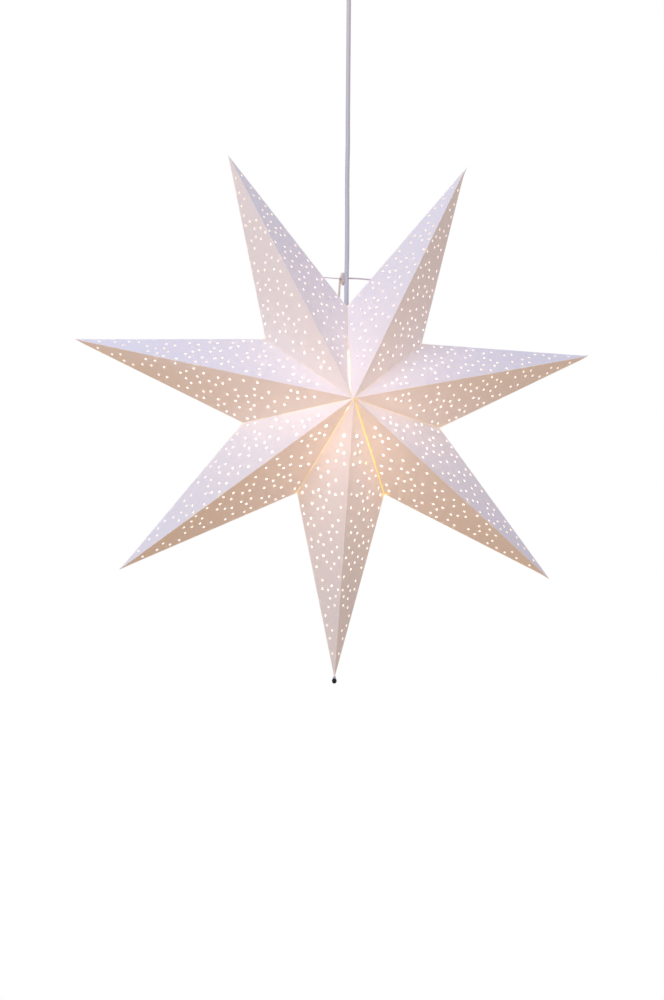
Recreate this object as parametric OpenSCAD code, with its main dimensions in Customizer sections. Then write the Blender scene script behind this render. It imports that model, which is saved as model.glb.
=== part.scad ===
// Advent star light: a seven-armed folded paper star with a small lamp inside,
// hung on its own cord from a hook in the ceiling.
// The origin is where the hook's screw leaves the ceiling. +Z is up, and the star faces -Y.
// Lengths are in millimetres and angles in degrees.

/* [Star] */
// Diameter of the circle through the seven tips
star_d = 600; // [500:10:700]
// Diameter of the circle through the seven inner corners
corner_d = 222; // [200:2:250]
// Depth of the star from its front point to its back point
star_depth = 144; // [120:2:170]
// Thickness of the paper
paper_t = 0.4; // [0.3:0.05:0.6]
// Width of the glue tabs along the valleys
tab_w = 7; // [5:0.5:9]
// Opening of the untied top seam at its corner
seam_open = 2.4; // [1.6:0.2:3.2]
// How far the star leans clockwise on its cord
star_lean = 0.7; // [0:0.1:2]

/* [Punched holes] */
// Diameter of the punched holes
hole_d = 3; // [2.4:0.1:4.2]
// Least distance between the centres of two holes
hole_pitch = 7.2; // [6:0.2:12]
// Least distance from a hole's edge to a crease
hole_margin = 1.8; // [1.5:0.1:4]
// Bare length beside the front and back points
bare_length = 40; // [30:1:60]
// Places tried for holes on each panel
hole_tries = 400; // [40:10:500]

/* [Hanging] */
// Height from the ceiling down to the star's centre
drop = 540; // [500:5:900]
// Diameter of the cord
cord_d = 5; // [4:0.2:6]
// Room around the cord where it passes through paper
cord_room = 0.8; // [0.6:0.1:1.2]
// Height from the seam's corner down to the lampholder
holder_drop = 30; // [28:1:40]

/* [Tie string and bead] */
// Diameter of the tie string
string_d = 1.4; // [1:0.1:1.6]
// Height of the string above the seam's corner
string_rise = 32; // [24:1:34]
// Width of the bead across its belly
bead_d = 5.4; // [4:0.2:8]
// Height of the bead
bead_h = 5.4; // [4:0.2:8]

/* [Lampholder] */
// Outer diameter of the lampholder
holder_d = 28; // [27:0.5:32]
// Length of the skirt
skirt_h = 38; // [36:1:44]
// Height of the cap's wall under its shoulder
cap_wall_h = 8; // [7:1:12]
// Height of the cap's sloping shoulder
shoulder_h = 8; // [6:1:12]
// Height of the cap's neck
neck_h = 13; // [12:1:16]
// Diameter of the neck
neck_d = 12; // [11:0.5:14]
// Wall of the cap and the skirt
holder_wall = 1.6; // [1.2:0.1:2]

/* [Bulb] */
// Diameter of the globe
globe_d = 45; // [40:1:50]
// Diameter over the screw thread
thread_d = 13.8; // [13.6:0.1:13.9]
// Pitch of the screw thread
thread_pitch = 2.82; // [2.5:0.01:3]
// Length of the screw shell
shell_h = 17; // [15:0.5:18]
// Length of the bulb's collar between shell and globe
collar_h = 15; // [12:1:20]

/* [Ceiling fitting] */
// Diameter of the hook's screw
screw_d = 5; // [4:0.5:6]
// Length of the screw in the ceiling
screw_l = 24; // [20:1:40]
// Diameter of the hook's wire
hook_wire_d = 3.2; // [2.8:0.2:3.6]
// Radius of the hook's bend at the middle of its wire
hook_r = 7; // [7:0.5:10]
// Diameter of the ring's wire
ring_wire_d = 2.4; // [2:0.2:2.6]
// Diameter of the ceiling cup at its rim
cup_d = 92; // [86:1:110]
// Height of the ceiling cup
cup_h = 66; // [66:1:80]
// Gap between the cup's rim and the ceiling
cup_gap = 5; // [4.5:0.5:8]
// Wall of the ceiling cup
cup_wall = 1.6; // [1.2:0.1:2.4]

/* [Hidden] */
$fn = 48;

// Small running clearances between pieces
slip = 0.1;
seat = 0.2;

// The star's own frame: its centre, with X to the right and Z up before it leans
arm_step = 360 / 7;
tip_r = star_d / 2;
corner_r = corner_d / 2;
half_depth = star_depth / 2;
front_point = [0, -half_depth, 0];
back_point = [0, half_depth, 0];
tab_start = 26;

// Near the front and back points the holes keep this much further from the creases
bare_margin = 9;
bare_reach = 110;

// A hand-folded star is never quite even. Each tip swings a little round the centre, in
// degrees clockwise, and leans forwards (minus) or back (plus), in millimetres.
tip_swing = [-1, 0.5, 0, 0.3, 0.5, 0.6, -1.2];
tip_lean = [-10, -10, 25, -12, 6, -1, 10];

// The inner corners, from the seam's on, swing as well, and stand out (plus) or in (minus)
corner_swing = [1, 0, -0.5, -0.2, 0.5, 0.2, -0.8];
corner_out = [-2, 1, 1, -1, 0, 2, 0];

// The cord hangs on the Z axis, just behind the seam's corner
cord_r = cord_d / 2;
cord_hole_r = cord_r + cord_room;
star_forward = cord_r + 1.2;
seam_corner = corner(0);
corner_z = seam_corner.z - drop;

// Lampholder levels, from the neck's top down to the mouth
neck_z = corner_z - holder_drop;
shoulder_z = neck_z - neck_h;
cap_wall_z = shoulder_z - shoulder_h;
skirt_z = cap_wall_z - cap_wall_h;
mouth_z = skirt_z - skirt_h;
holder_r = holder_d / 2;
neck_r = neck_d / 2;
groove_z = neck_z - 8.6;
groove_depth = 1.2;
groove_h = 5;
grip_z = neck_z - 3.2;
grip_r = 1.5;

// Lamp socket, from the mouth up
sleeve_ir = thread_d / 2 + seat;
sleeve_t = 0.5;
sleeve_or = sleeve_ir + sleeve_t;
core_ir = sleeve_or + slip;
core_wall = 2.2;
core_or = holder_r - holder_wall - seat;
core_disc_h = 6;
sleeve_z = mouth_z + 2;
shell_z = mouth_z - 1;
insulator_h = 3;
button_h = 1.5;
button_r = 2.4;
insulator_z = shell_z + shell_h;
button_z = insulator_z + insulator_h;
tongue_z = button_z + button_h + seat;
tongue_t = 0.5;
core_disc_z = tongue_z + tongue_t + 3;
sleeve_h = core_disc_z - sleeve_z;
core_foot_z = mouth_z + 3;
terminal_x = 7.5;
terminal_r = 1.3;
terminal_head_r = 2.2;
contact_w = 3;
side_contact_h = 8;

// Bulb below the mouth
globe_r = globe_d / 2;
collar_top_r = 8;
collar_low_r = 14;
collar_z = shell_z - collar_h;
globe_z = collar_z - sqrt(globe_r * globe_r - collar_low_r * collar_low_r);
globe_wall = 0.8;

// Ceiling hook, ring and hanger, from the ceiling down
hook_wire_r = hook_wire_d / 2;
flange_r = 7;
flange_t = 1.5;
hook_neck = 6;
hook_centre_z = -flange_t - hook_neck - hook_r;
hook_low_z = hook_centre_z - hook_r;
hook_mouth = 50;
screw_point_h = 4;
ring_wire_r = ring_wire_d / 2;
ring_r = 6;
ring_z = hook_low_z + hook_wire_r + ring_wire_r + slip - ring_r;
bar_r = 1.25;
bar_z = ring_z - ring_r + ring_wire_r + bar_r + slip;
cheek_gap = 8;
cheek_t = 2;
hanger_w = cheek_gap + 2 * cheek_t;
hanger_d = 11;
hanger_top_z = ring_z - ring_r - ring_wire_r - 1.5;
hanger_h = 15;
hanger_z = hanger_top_z - hanger_h;
cord_depth = 10;
screw_z = hanger_z + cord_depth / 2;
clamp_screw_r = 1.5;
block_w = 18;
block_d = 12;
block_h = 14;
block_y = hanger_d / 2;
block_z = hanger_top_z - block_h;
block_pitch = 9;
block_bore_r = 1.6;
block_screw_r = 1.7;

// Ceiling cup
cup_r = cup_d / 2;
cup_rim_z = -cup_gap;
cup_low_z = cup_rim_z - cup_h;
cup_straight_h = 14;
cup_neck_h = 8;
cup_neck_r = 8;
grommet_r = 6;
grommet_h = 9;
grommet_lip_r = 7.2;
grommet_lip_h = 1.8;
grommet_room = 0.3;

// The tie string runs straight across behind the cord, and its tail hangs from the knot
string_r = string_d / 2;
string_y = cord_r + string_r + 0.3;
string_z = corner_z + string_rise;
string_reach = 36;
knot_r = 3;
knot_x = -cord_r - 0.8;
knot_y = string_y + 2.4;

// Wire bracket that carries the star on the lampholder
bracket_wire_r = 0.8;
bracket_ring_r = neck_r - groove_depth + slip + bracket_wire_r;
bracket_along = 31;
bracket_seat = 2.3;
bracket_pitch = 1.9;

// Route of the cord, top to bottom: plumb under the cup's travel, then with a slight set
cord_top_z = hanger_z + cord_depth;
cord_low_z = neck_z - neck_h + 2;
cord_route = [[0, 0, cord_top_z], [0, 0, hanger_z], [0, 0, -80], [0, 0, -110], [0, 0, -140],
              [0, 0, -170], [0, 0, -200], [0, 0, -225], [0.2, 0, -245], [-0.1, 0.1, -272],
              [-0.1, 0.2, -300], [0.2, 0.2, -325], [0.3, 0.1, -350], [0.3, 0, -370],
              [0.2, 0, -385], [0, 0, corner_z + 36], [0, 0, corner_z + 20], [0, 0, corner_z],
              [0, 0, corner_z - 20], [0, 0, neck_z], [0, 0, cord_low_z]];

// Vector helpers
function unit(v) = v / norm(v);
function polar(radius, angle, y) = [radius * sin(angle), y, radius * cos(angle)];
function frac(x) = x - floor(x);

// Point at which three planes meet, each given by its normal and its distance
function meet(n1, d1, n2, d2, n3, d3) =
    (d1 * cross(n2, n3) + d2 * cross(n3, n1) + d3 * cross(n1, n2)) / (n1 * cross(n2, n3));

// Names of the arms follow their angles, clockwise from the seam
function arm_angle(i) = (i - 0.5) * arm_step;
function tip(i) = polar(tip_r, arm_angle(i) + tip_swing[i], tip_lean[i]);

// The two corners beside an arm. At the top seam the paper stands open by half the gap.
function corner(k) = polar(corner_r + corner_out[k], k * arm_step + corner_swing[k], 0);
function left_corner(i) = corner((i + 6) % 7) + (i == 1 ? [seam_open / 2, 0, 0] : [0, 0, 0]);
function right_corner(i) = corner(i) - (i == 0 ? [seam_open / 2, 0, 0] : [0, 0, 0]);

// Outward normal of the panel through three points, seen clockwise from outside
function facing(a, b, c) = unit(cross(c - a, b - a));

// Corners of a glue tab, from the front point past the inner corner to the back point
function tab_point(from, corner, along, inward) =
    let (edge = unit(corner - from), side = unit(inward - edge * (edge * inward)))
    from + edge * along + side * tab_w;
function tab_edge(corner) =
    let (inward = -unit([corner.x, 0, corner.z]),
         reach = tab_w * norm(corner - front_point) / half_depth)
    [tab_point(front_point, corner, tab_start, inward),
     corner + inward * reach,
     tab_point(back_point, corner, tab_start, inward)];

// A creased sheet: four panels round the tip, and a folded glue tab along each valley
module arm_sheet(i) {
    t = tip(i);
    l = left_corner(i);
    r = right_corner(i);
    f = front_point;
    b = back_point;
    n_fr = facing(f, t, r);
    n_fl = facing(f, l, t);
    n_br = facing(b, r, t);
    n_bl = facing(b, t, l);
    n_r = unit(cross(f - r, b - r));
    n_l = unit(cross(b - l, f - l));
    pt = paper_t;
    r_in = meet(n_fr, n_fr * r - pt, n_br, n_br * r - pt, n_r, n_r * r - pt);
    l_in = meet(n_fl, n_fl * l - pt, n_bl, n_bl * l - pt, n_l, n_l * l - pt);
    f_in = (meet(n_fr, n_fr * f - pt, n_fl, n_fl * f - pt, n_r, n_r * f - pt)
            + meet(n_fr, n_fr * f - pt, n_fl, n_fl * f - pt, n_l, n_l * f - pt)) / 2;
    b_in = (meet(n_br, n_br * b - pt, n_bl, n_bl * b - pt, n_r, n_r * b - pt)
            + meet(n_br, n_br * b - pt, n_bl, n_bl * b - pt, n_l, n_l * b - pt)) / 2;
    t_in = (meet(n_fr, n_fr * t - pt, n_fl, n_fl * t - pt, n_br, n_br * t - pt)
            + meet(n_fr, n_fr * t - pt, n_fl, n_fl * t - pt, n_bl, n_bl * t - pt)) / 2;
    r_tab = tab_edge(r);
    l_tab = tab_edge(l);
    // Points 0-10 are the outer side, and 11-21 the same points on the inner side
    outer = [t, f, r, b, l, r_tab[0], r_tab[1], r_tab[2], l_tab[2], l_tab[1], l_tab[0]];
    inner = [t_in, f_in, r_in, b_in, l_in,
             for (p = r_tab) p - n_r * pt,
             for (k = [2, 1, 0]) l_tab[k] - n_l * pt];
    count = len(outer);
    skins = [[1, 0, 2], [1, 4, 0], [3, 2, 0], [3, 0, 4], [1, 2, 6], [1, 6, 5], [2, 3, 7],
             [2, 7, 6], [3, 4, 9], [3, 9, 8], [4, 1, 10], [4, 10, 9]];
    rim = [1, 5, 6, 7, 3, 8, 9, 10];
    walls = [for (k = [0 : len(rim) - 1])
        let (a = rim[k], c = rim[(k + 1) % len(rim)])
        each [[a, c, c + count], [a, c + count, a + count]]];
    backs = [for (s = skins) [s[0] + count, s[2] + count, s[1] + count]];
    polyhedron(points = concat(outer, inner), faces = concat(skins, walls, backs), convexity = 8);
}

// Unordered places on a panel, as [distance along the ridge, distance from it]
function scatter(k, spread, turn) = frac(0.5 + spread * sin(k * turn + 12));
function hole_try(k, ridge, reach) =
    [ridge * scatter(k, 43758.5453, 12.9898), reach * scatter(k, 24634.6345, 78.233)];
function holds_hole(p, ridge, foot, reach) =
    let (edge_in = reach / foot * p.x - p.y,
         edge_out = reach / (ridge - foot) * (ridge - p.x) - p.y,
         need = hole_d / 2 + hole_margin,
         near = need + bare_margin * max(0, 1 - norm(p) / bare_reach))
    norm(p) > bare_length && p.y > near
    && edge_in * cos(atan(reach / foot)) > near
    && edge_out * cos(atan(reach / (ridge - foot))) > need;
function clear_of(p, others, k = 0) =
    k >= len(others) || (norm(p - others[k]) >= hole_pitch && clear_of(p, others, k + 1));
function hole_places(ridge, foot, reach, k = 0, found = []) =
    k >= hole_tries ? found
    : let (p = hole_try(k, ridge, reach),
           good = holds_hole(p, ridge, foot, reach) && clear_of(p, found))
      hole_places(ridge, foot, reach, k + 1, good ? concat(found, [p]) : found);

// Punches through the panel between a point of the star, a tip and a corner
module panel_punches(point, t, corner) {
    along = unit(t - point);
    foot = (corner - point) * along;
    across = unit(corner - point - along * foot);
    up = cross(along, across);
    reach = (corner - point) * across;
    for (p = hole_places(norm(t - point), foot, reach)) {
        at = point + along * p.x + across * p.y;
        multmatrix([[along.x, across.x, up.x, at.x],
                    [along.y, across.y, up.y, at.y],
                    [along.z, across.z, up.z, at.z],
                    [0, 0, 0, 1]])
            cylinder(r = hole_d / 2, h = 6 * paper_t, center = true, $fn = 16);
    }
}

// Places the star's own frame in the part: the seam's corner just in front of the cord
module in_star() {
    translate([0, -star_forward, corner_z])
        rotate([0, star_lean, 0])
            translate(-seam_corner)
                children();
}

module paper_arm(i) {
    color("lavenderblush") difference() {
        in_star() difference() {
            arm_sheet(i);
            panel_punches(front_point, tip(i), left_corner(i));
            panel_punches(front_point, tip(i), right_corner(i));
            panel_punches(back_point, tip(i), left_corner(i));
            panel_punches(back_point, tip(i), right_corner(i));
        }
        if (i < 2) {
            // Room for the cord at the seam's corner, and a hole for the tie string
            translate([0, 0, corner_z - 2 * cord_hole_r - holder_drop])
                cylinder(r = cord_hole_r, h = 3 * cord_hole_r + 2 * holder_drop);
            translate([0, string_y, string_z]) rotate([0, 90, 0])
                cylinder(r = hole_d / 2, h = 2.6 * string_reach, center = true);
        }
    }
}

// Frame of a tube at each point of its route, carried along without twist
function route_dir(path, k) =
    unit(path[min(k + 1, len(path) - 1)] - path[max(k - 1, 0)]);
function first_side(d) = unit(abs(d.x) < 0.9 ? cross(d, [1, 0, 0]) : cross(d, [0, 1, 0]));
function carried(side, d) = unit(side - d * (side * d));
function sides_along(path, k = 0, sides = []) =
    k >= len(path) ? sides
    : let (d = route_dir(path, k),
           side = k == 0 ? first_side(d) : carried(sides[k - 1], d))
      sides_along(path, k + 1, concat(sides, [side]));

// One closed tube swept along a route. Its radius is one number, or one for each point.
module swept_tube(path, radius, faces = 8) {
    sides = sides_along(path);
    n = len(path);
    points = [for (k = [0 : n - 1], j = [0 : faces - 1])
        let (d = route_dir(path, k), s = sides[k], q = cross(d, s), a = 360 * j / faces)
        path[k] + (is_list(radius) ? radius[k] : radius) * (cos(a) * s + sin(a) * q)];
    walls = [for (k = [0 : n - 2], j = [0 : faces - 1])
        let (a = k * faces + j, b = k * faces + (j + 1) % faces)
        each [[a, b + faces, b], [a, a + faces, b + faces]]];
    caps = [[for (j = [0 : faces - 1]) j], [for (j = [faces - 1 : -1 : 0]) (n - 1) * faces + j]];
    polyhedron(points = points, faces = concat(caps, walls), convexity = 6);
}

// The string: from a knot inside the left arm, behind the cord, to a knot inside the right arm
function slack(x) = 0.4 * sin(x * 9);
function along_string(x) = [x, string_y + 0.6 * slack(x), string_z + slack(x)];
string_route = [for (x = [-string_reach : 1 : string_reach]) along_string(x)];
// Its knots are wider than the holes in the arms, and right of the cord it is laid double
function string_radius(x) =
    abs(abs(x) - string_reach + 1.5) < 1.2 ? hole_d / 2 + 0.4 : string_r * (x > 0 ? 1.4 : 1);

// Barrel knot behind the cord, each point with its radius, and the tail that leaves its left side
knot_turns = [[7, 0.8], [6.2, 2], [4, knot_r], [-1, knot_r], [-4.6, 2.5], [-6.8, 1.6], [-7.8, 0.7]];
knot_route = [for (p = knot_turns) [knot_x, knot_y, string_z + p[0]]];
tail_route = [for (p = [[2, 1], [0.6, 0], [-4, -0.5], [-10, -0.9], [-16, -1.1], [-22, -1.4]])
    [knot_x - knot_r + p[1], knot_y - 1, string_z + p[0]]];

module tie_string() {
    color("lightslategray") {
        swept_tube(string_route, [for (p = string_route) string_radius(p.x)]);
        swept_tube(knot_route, [for (p = knot_turns) p[1]], 12);
        swept_tube(tail_route, 1.5 * string_r);
    }
}

// The bottom arm is the fifth: its tip, in the part's frame, carries the bead
bead_tip = tip(4);
bead_gap = 0.4;

module at_bead() {
    in_star() translate(bead_tip) rotate([0, arm_angle(4) + tip_swing[4] - 180, 0]) children();
}

module tip_bead() {
    color("dimgray") at_bead() translate([0, 0, -bead_gap - bead_h])
        rotate_extrude($fn = 8) polygon([[0, 0], [bead_d * 0.24, 0], [bead_d / 2, bead_h * 0.36],
            [bead_d / 2, bead_h * 0.58], [bead_d * 0.3, bead_h], [0, bead_h]]);
}

// Cup crimped over the tip of the paper, which widens towards the star as fast as tip_slope
module bead_collar() {
    thimble_r = 1.8;
    thimble_h = 1.8;
    tip_slope = max(half_depth / tip_r,
        corner_r * sin(arm_step / 2) / (tip_r - corner_r * cos(arm_step / 2)));
    color("silver") at_bead() rotate_extrude($fn = 32) polygon([
        [0, -bead_gap], [thimble_r - 0.4, -bead_gap], [thimble_r, 0], [thimble_r, thimble_h - 0.4],
        [thimble_r - 0.4, thimble_h], [slip + 1.1 * tip_slope * thimble_h, thimble_h],
        [slip, -slip], [0, -slip]]);
}

// Point under an upper arm's edge crease, where the bracket's wire bears, in the star's frame
function crease_point(side) =
    let (corner = side < 0 ? right_corner(0) : left_corner(1), t = side < 0 ? tip(0) : tip(1),
         along = unit(t - corner))
    corner + along * bracket_along + [side * along.z, 0, -abs(along.x)] * bracket_seat;
function hung(p) =
    let (q = p - seam_corner)
    [cos(star_lean) * q.x + sin(star_lean) * q.z, q.y - star_forward,
     corner_z + cos(star_lean) * q.z - sin(star_lean) * q.x];

// One bent wire: up into the left arm, a turn and a half round the neck, and up into the right arm
bracket_left = hung(crease_point(-1));
bracket_right = hung(crease_point(1));
bracket_coil = [for (k = [0 : 36])
    let (a = 180 + 540 * k / 36)
    [bracket_ring_r * cos(a), bracket_ring_r * sin(a), groove_z + bracket_pitch * (k / 24 - 0.75)]];
function bracket_arm(side, z) = [
    [side * (bracket_ring_r + 1.6), -side * 2.2, z], [side * (bracket_ring_r + 5), -2, z + 2.5],
    [side * (bracket_ring_r + 7.6), -1.6, z + 8], [side * (bracket_ring_r + 9), -1.4, z + 16],
    [side * (bracket_ring_r + 10), -2, z + 26]];

module star_bracket() {
    arm_left = bracket_arm(-1, bracket_coil[0].z);
    arm_right = bracket_arm(1, bracket_coil[36].z);
    color("silver") swept_tube(concat(
        [bracket_left, bracket_left + [1.6, 0, -10]], [for (k = [4 : -1 : 0]) arm_left[k]],
        bracket_coil, arm_right, [bracket_right + [-1.6, 0, -10], bracket_right]), bracket_wire_r);
}

module cord() {
    color("gainsboro") swept_tube(cord_route, cord_r, 12);
}

// Set screw in the neck that grips the cord
module cord_grip() {
    color("whitesmoke") translate([cord_r + slip, 0, grip_z]) rotate([0, 90, 0]) difference() {
        cylinder(r = grip_r, h = neck_r - cord_r + 1.4);
        translate([-0.3, -grip_r - 1, neck_r - cord_r + 0.7]) cube([0.6, 2 * grip_r + 2, 2]);
    }
}

module holder_cap() {
    inner_r = holder_r - holder_wall;
    color("whitesmoke") difference() {
        translate([0, 0, skirt_z]) rotate_extrude($fn = 96) polygon([
            [cord_r + slip, neck_h + shoulder_h + cap_wall_h],
            [neck_r - 1, neck_h + shoulder_h + cap_wall_h],
            [neck_r, neck_h + shoulder_h + cap_wall_h - 1],
            [neck_r, groove_z - skirt_z + groove_h / 2],
            [neck_r - groove_depth, groove_z - skirt_z + groove_h / 2],
            [neck_r - groove_depth, groove_z - skirt_z - groove_h / 2],
            [neck_r, groove_z - skirt_z - groove_h / 2],
            [neck_r, shoulder_h + cap_wall_h],
            [holder_r - 1, cap_wall_h + 0.8],
            [holder_r, cap_wall_h - 0.4],
            [holder_r, 0],
            [inner_r, 0],
            [inner_r, cap_wall_h - 1],
            [neck_r - holder_wall, shoulder_h + cap_wall_h - 1],
            [cord_r + slip, shoulder_h + cap_wall_h - 1]]);
        translate([0, 0, grip_z]) rotate([0, 90, 0]) cylinder(r = grip_r + slip, h = holder_r);
    }
}

module holder_skirt() {
    inner_r = holder_r - holder_wall;
    color("whitesmoke") translate([0, 0, mouth_z]) rotate_extrude($fn = 96) polygon([
        [inner_r - 2, 0], [holder_r - 1.6, 0], [holder_r - 0.6, 0.8], [holder_r - 0.4, skirt_h - 3],
        [holder_r, skirt_h - 2.4], [holder_r, skirt_h], [inner_r, skirt_h], [inner_r, 1.8],
        [inner_r - 2, 1.8]]);
}

// Insulating core: a disc under the cap and a tube round the screw sleeve
module holder_core() {
    color("white") difference() {
        union() {
            translate([0, 0, core_disc_z]) cylinder(r = core_or, h = core_disc_h, $fn = 96);
            translate([0, 0, core_foot_z]) difference() {
                cylinder(r = core_ir + core_wall, h = core_disc_z - core_foot_z + 1, $fn = 96);
                translate([0, 0, -1]) cylinder(r = core_ir, h = core_disc_z - core_foot_z + 1, $fn = 96);
            }
        }
        for (side = [-1, 1])
            translate([side * terminal_x, 0, core_disc_z - 1])
                cylinder(r = terminal_r, h = core_disc_h + 2);
        translate([core_ir - 0.5, -contact_w / 2 - 0.5, core_disc_z - side_contact_h - 1])
            cube([1.4, contact_w + 1, side_contact_h + 2]);
    }
}

module screw_sleeve() {
    color("gold") translate([0, 0, sleeve_z]) difference() {
        cylinder(r = sleeve_or, h = sleeve_h - seat, $fn = 96);
        translate([0, 0, -1]) cylinder(r = sleeve_ir, h = sleeve_h + 2, $fn = 96);
    }
}

// Spring tongue over the bulb's contact button, hung from the core's disc
module centre_contact() {
    color("gold") {
        translate([-4.5, -contact_w / 2, tongue_z]) cube([6.5, contact_w, tongue_t]);
        translate([-5, -contact_w / 2, tongue_z]) cube([tongue_t, contact_w, core_disc_z - tongue_z]);
    }
}

module side_contact() {
    color("gold") translate([sleeve_or + slip, -contact_w / 2, core_disc_z - side_contact_h])
        cube([tongue_t, contact_w, side_contact_h]);
}

module terminal_screws() {
    color("silver") for (side = [-1, 1])
        translate([side * terminal_x, 0, core_disc_z + 1]) difference() {
            union() {
                cylinder(r = terminal_r, h = core_disc_h - 1);
                translate([0, 0, core_disc_h - 1]) cylinder(r = terminal_head_r, h = 1.6);
            }
            translate([-3, -0.3, core_disc_h - 0.1]) cube([6, 0.6, 2]);
        }
}

module bulb_globe() {
    color("ivory") translate([0, 0, globe_z]) difference() {
        sphere(r = globe_r, $fn = 96);
        sphere(r = globe_r - globe_wall, $fn = 96);
        translate([0, 0, collar_z - globe_z]) cylinder(r = globe_r, h = globe_r);
    }
}

module bulb_collar() {
    color("white") translate([0, 0, collar_z]) rotate_extrude($fn = 96) polygon([
        [collar_low_r - 2, 0], [collar_low_r, 0], [collar_low_r, 2], [collar_top_r + 1.4, collar_h - 3],
        [collar_top_r, collar_h], [4, collar_h], [4, collar_h - 2], [collar_top_r - 1, collar_h - 3.4],
        [collar_low_r - 2, 1.6]]);
}

// Stem with four light strips, standing in the collar's mouth
module filament_carrier() {
    base_h = 1.2;
    stem_low = globe_z - 6;
    stem_h = collar_z - stem_low + base_h / 2;
    stem_r = 1.6;
    strip_w = 3.6;
    strip_t = 1.8;
    color("lightyellow") {
        translate([0, 0, collar_z]) cylinder(r = collar_low_r - 2 - seat, h = base_h);
        translate([0, 0, stem_low]) cylinder(r = stem_r, h = stem_h);
        for (k = [0 : 3])
            rotate([0, 0, 90 * k]) translate([stem_r - seat, -strip_t / 2, stem_low])
                cube([strip_w, strip_t, stem_h]);
    }
}

// Screw shell with rounded ribs at the thread's pitch
module bulb_screw_shell() {
    crest = thread_d / 2;
    root = crest - 0.8;
    rib_r = 0.9;
    shell_t = 0.6;
    ribs = floor((shell_h - 3) / thread_pitch);
    color("silver") translate([0, 0, shell_z]) rotate_extrude($fn = 72) difference() {
        union() {
            square([root, shell_h]);
            for (k = [0 : ribs - 1])
                translate([crest - rib_r, 2 + (k + 0.5) * thread_pitch]) circle(r = rib_r, $fn = 24);
        }
        translate([0, -1]) square([root - shell_t, shell_h + 2]);
    }
}

module bulb_insulator() {
    color("black") translate([0, 0, insulator_z - 1.5]) rotate_extrude($fn = 72) polygon([
        [0, 0], [thread_d / 2 - 1.5, 0], [thread_d / 2 - 1.5, 1.5], [5.2, 1.5], [3.2, insulator_h + 1.5],
        [0, insulator_h + 1.5]]);
}

module bulb_contact() {
    color("silver") translate([0, 0, button_z]) rotate_extrude($fn = 48) polygon([
        [0, 0], [button_r, 0], [button_r, button_h - 0.6], [button_r - 0.7, button_h], [0, button_h]]);
}

// Screw hook: a pointed screw, a flange against the ceiling, and a round open bend
module ceiling_hook() {
    pin_h = screw_l - screw_point_h;
    color("silver") {
        cylinder(r = screw_d / 2, h = pin_h);
        translate([0, 0, pin_h]) cylinder(r1 = screw_d / 2, r2 = 0.4, h = screw_point_h);
        translate([0, 0, -flange_t]) cylinder(r = flange_r, h = flange_t);
        translate([0, 0, hook_centre_z + hook_r]) cylinder(r = hook_wire_r, h = hook_neck + 0.5);
        translate([0, 0, hook_centre_z]) rotate([90, 0, 0]) rotate([0, 0, 90])
            rotate_extrude(angle = 360 - hook_mouth) translate([hook_r, 0]) circle(r = hook_wire_r);
    }
}

// Welded ring in the hook, across it
module hanger_ring() {
    color("silver") translate([0, 0, ring_z]) rotate([0, 90, 0])
        rotate_extrude($fn = 72) translate([ring_r, 0]) circle(r = ring_wire_r, $fn = 32);
}

// Hanger: a bar through the ring between two cheeks, over a block that holds the cord's end
module cord_hanger() {
    color("whitesmoke") difference() {
        union() {
            translate([-hanger_w / 2, -hanger_d / 2, hanger_z]) cube([hanger_w, hanger_d, hanger_h]);
            for (side = [-1, 1]) {
                translate([side * (cheek_gap + cheek_t) / 2 - cheek_t / 2, -3, hanger_top_z - 1])
                    cube([cheek_t, 6, bar_z - hanger_top_z + 1]);
                translate([side * (cheek_gap + cheek_t) / 2 - cheek_t / 2, 0, bar_z]) rotate([0, 90, 0])
                    cylinder(r = 3, h = cheek_t);
            }
            translate([-hanger_w / 2 + 0.5, 0, bar_z]) rotate([0, 90, 0])
                cylinder(r = bar_r, h = hanger_w - 1);
        }
        translate([0, 0, hanger_z - 1]) cylinder(r = cord_r + slip, h = cord_depth + 1 + slip);
        translate([0, -hanger_d / 2 - 1, screw_z]) rotate([-90, 0, 0])
            cylinder(r = clamp_screw_r + slip, h = hanger_d / 2 + 1);
    }
}

// Screw that clamps the cord's end in the hanger
module hanger_screw() {
    head_y = hanger_d / 2 + 2;
    color("silver") translate([0, -head_y, screw_z]) rotate([-90, 0, 0]) difference() {
        union() {
            cylinder(r = clamp_screw_r, h = head_y - cord_r - slip);
            cylinder(r = clamp_screw_r + 1.3, h = 1.8);
        }
        translate([-4, -0.35, -1]) cube([8, 0.7, 1.8]);
    }
}

module terminal_block() {
    color("white") translate([-block_w / 2, block_y, block_z]) difference() {
        cube([block_w, block_d, block_h]);
        for (side = [-1, 1]) {
            translate([block_w / 2 + side * block_pitch / 2, block_d / 2, -1])
                cylinder(r = block_bore_r, h = block_h + 2);
            translate([block_w / 2 + side * block_pitch / 2, block_d / 2, block_h / 2]) rotate([-90, 0, 0])
                cylinder(r = block_screw_r + slip, h = block_d);
        }
    }
}

module block_screws() {
    color("silver") for (side = [-1, 1])
        translate([side * block_pitch / 2, block_y + block_d / 2 + block_bore_r, block_z + block_h / 2])
            rotate([-90, 0, 0]) difference() {
                cylinder(r = block_screw_r, h = block_d / 2 - block_bore_r - 1);
                translate([-3, -0.3, block_d / 2 - block_bore_r - 1.8]) cube([6, 0.6, 2]);
            }
}

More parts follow.
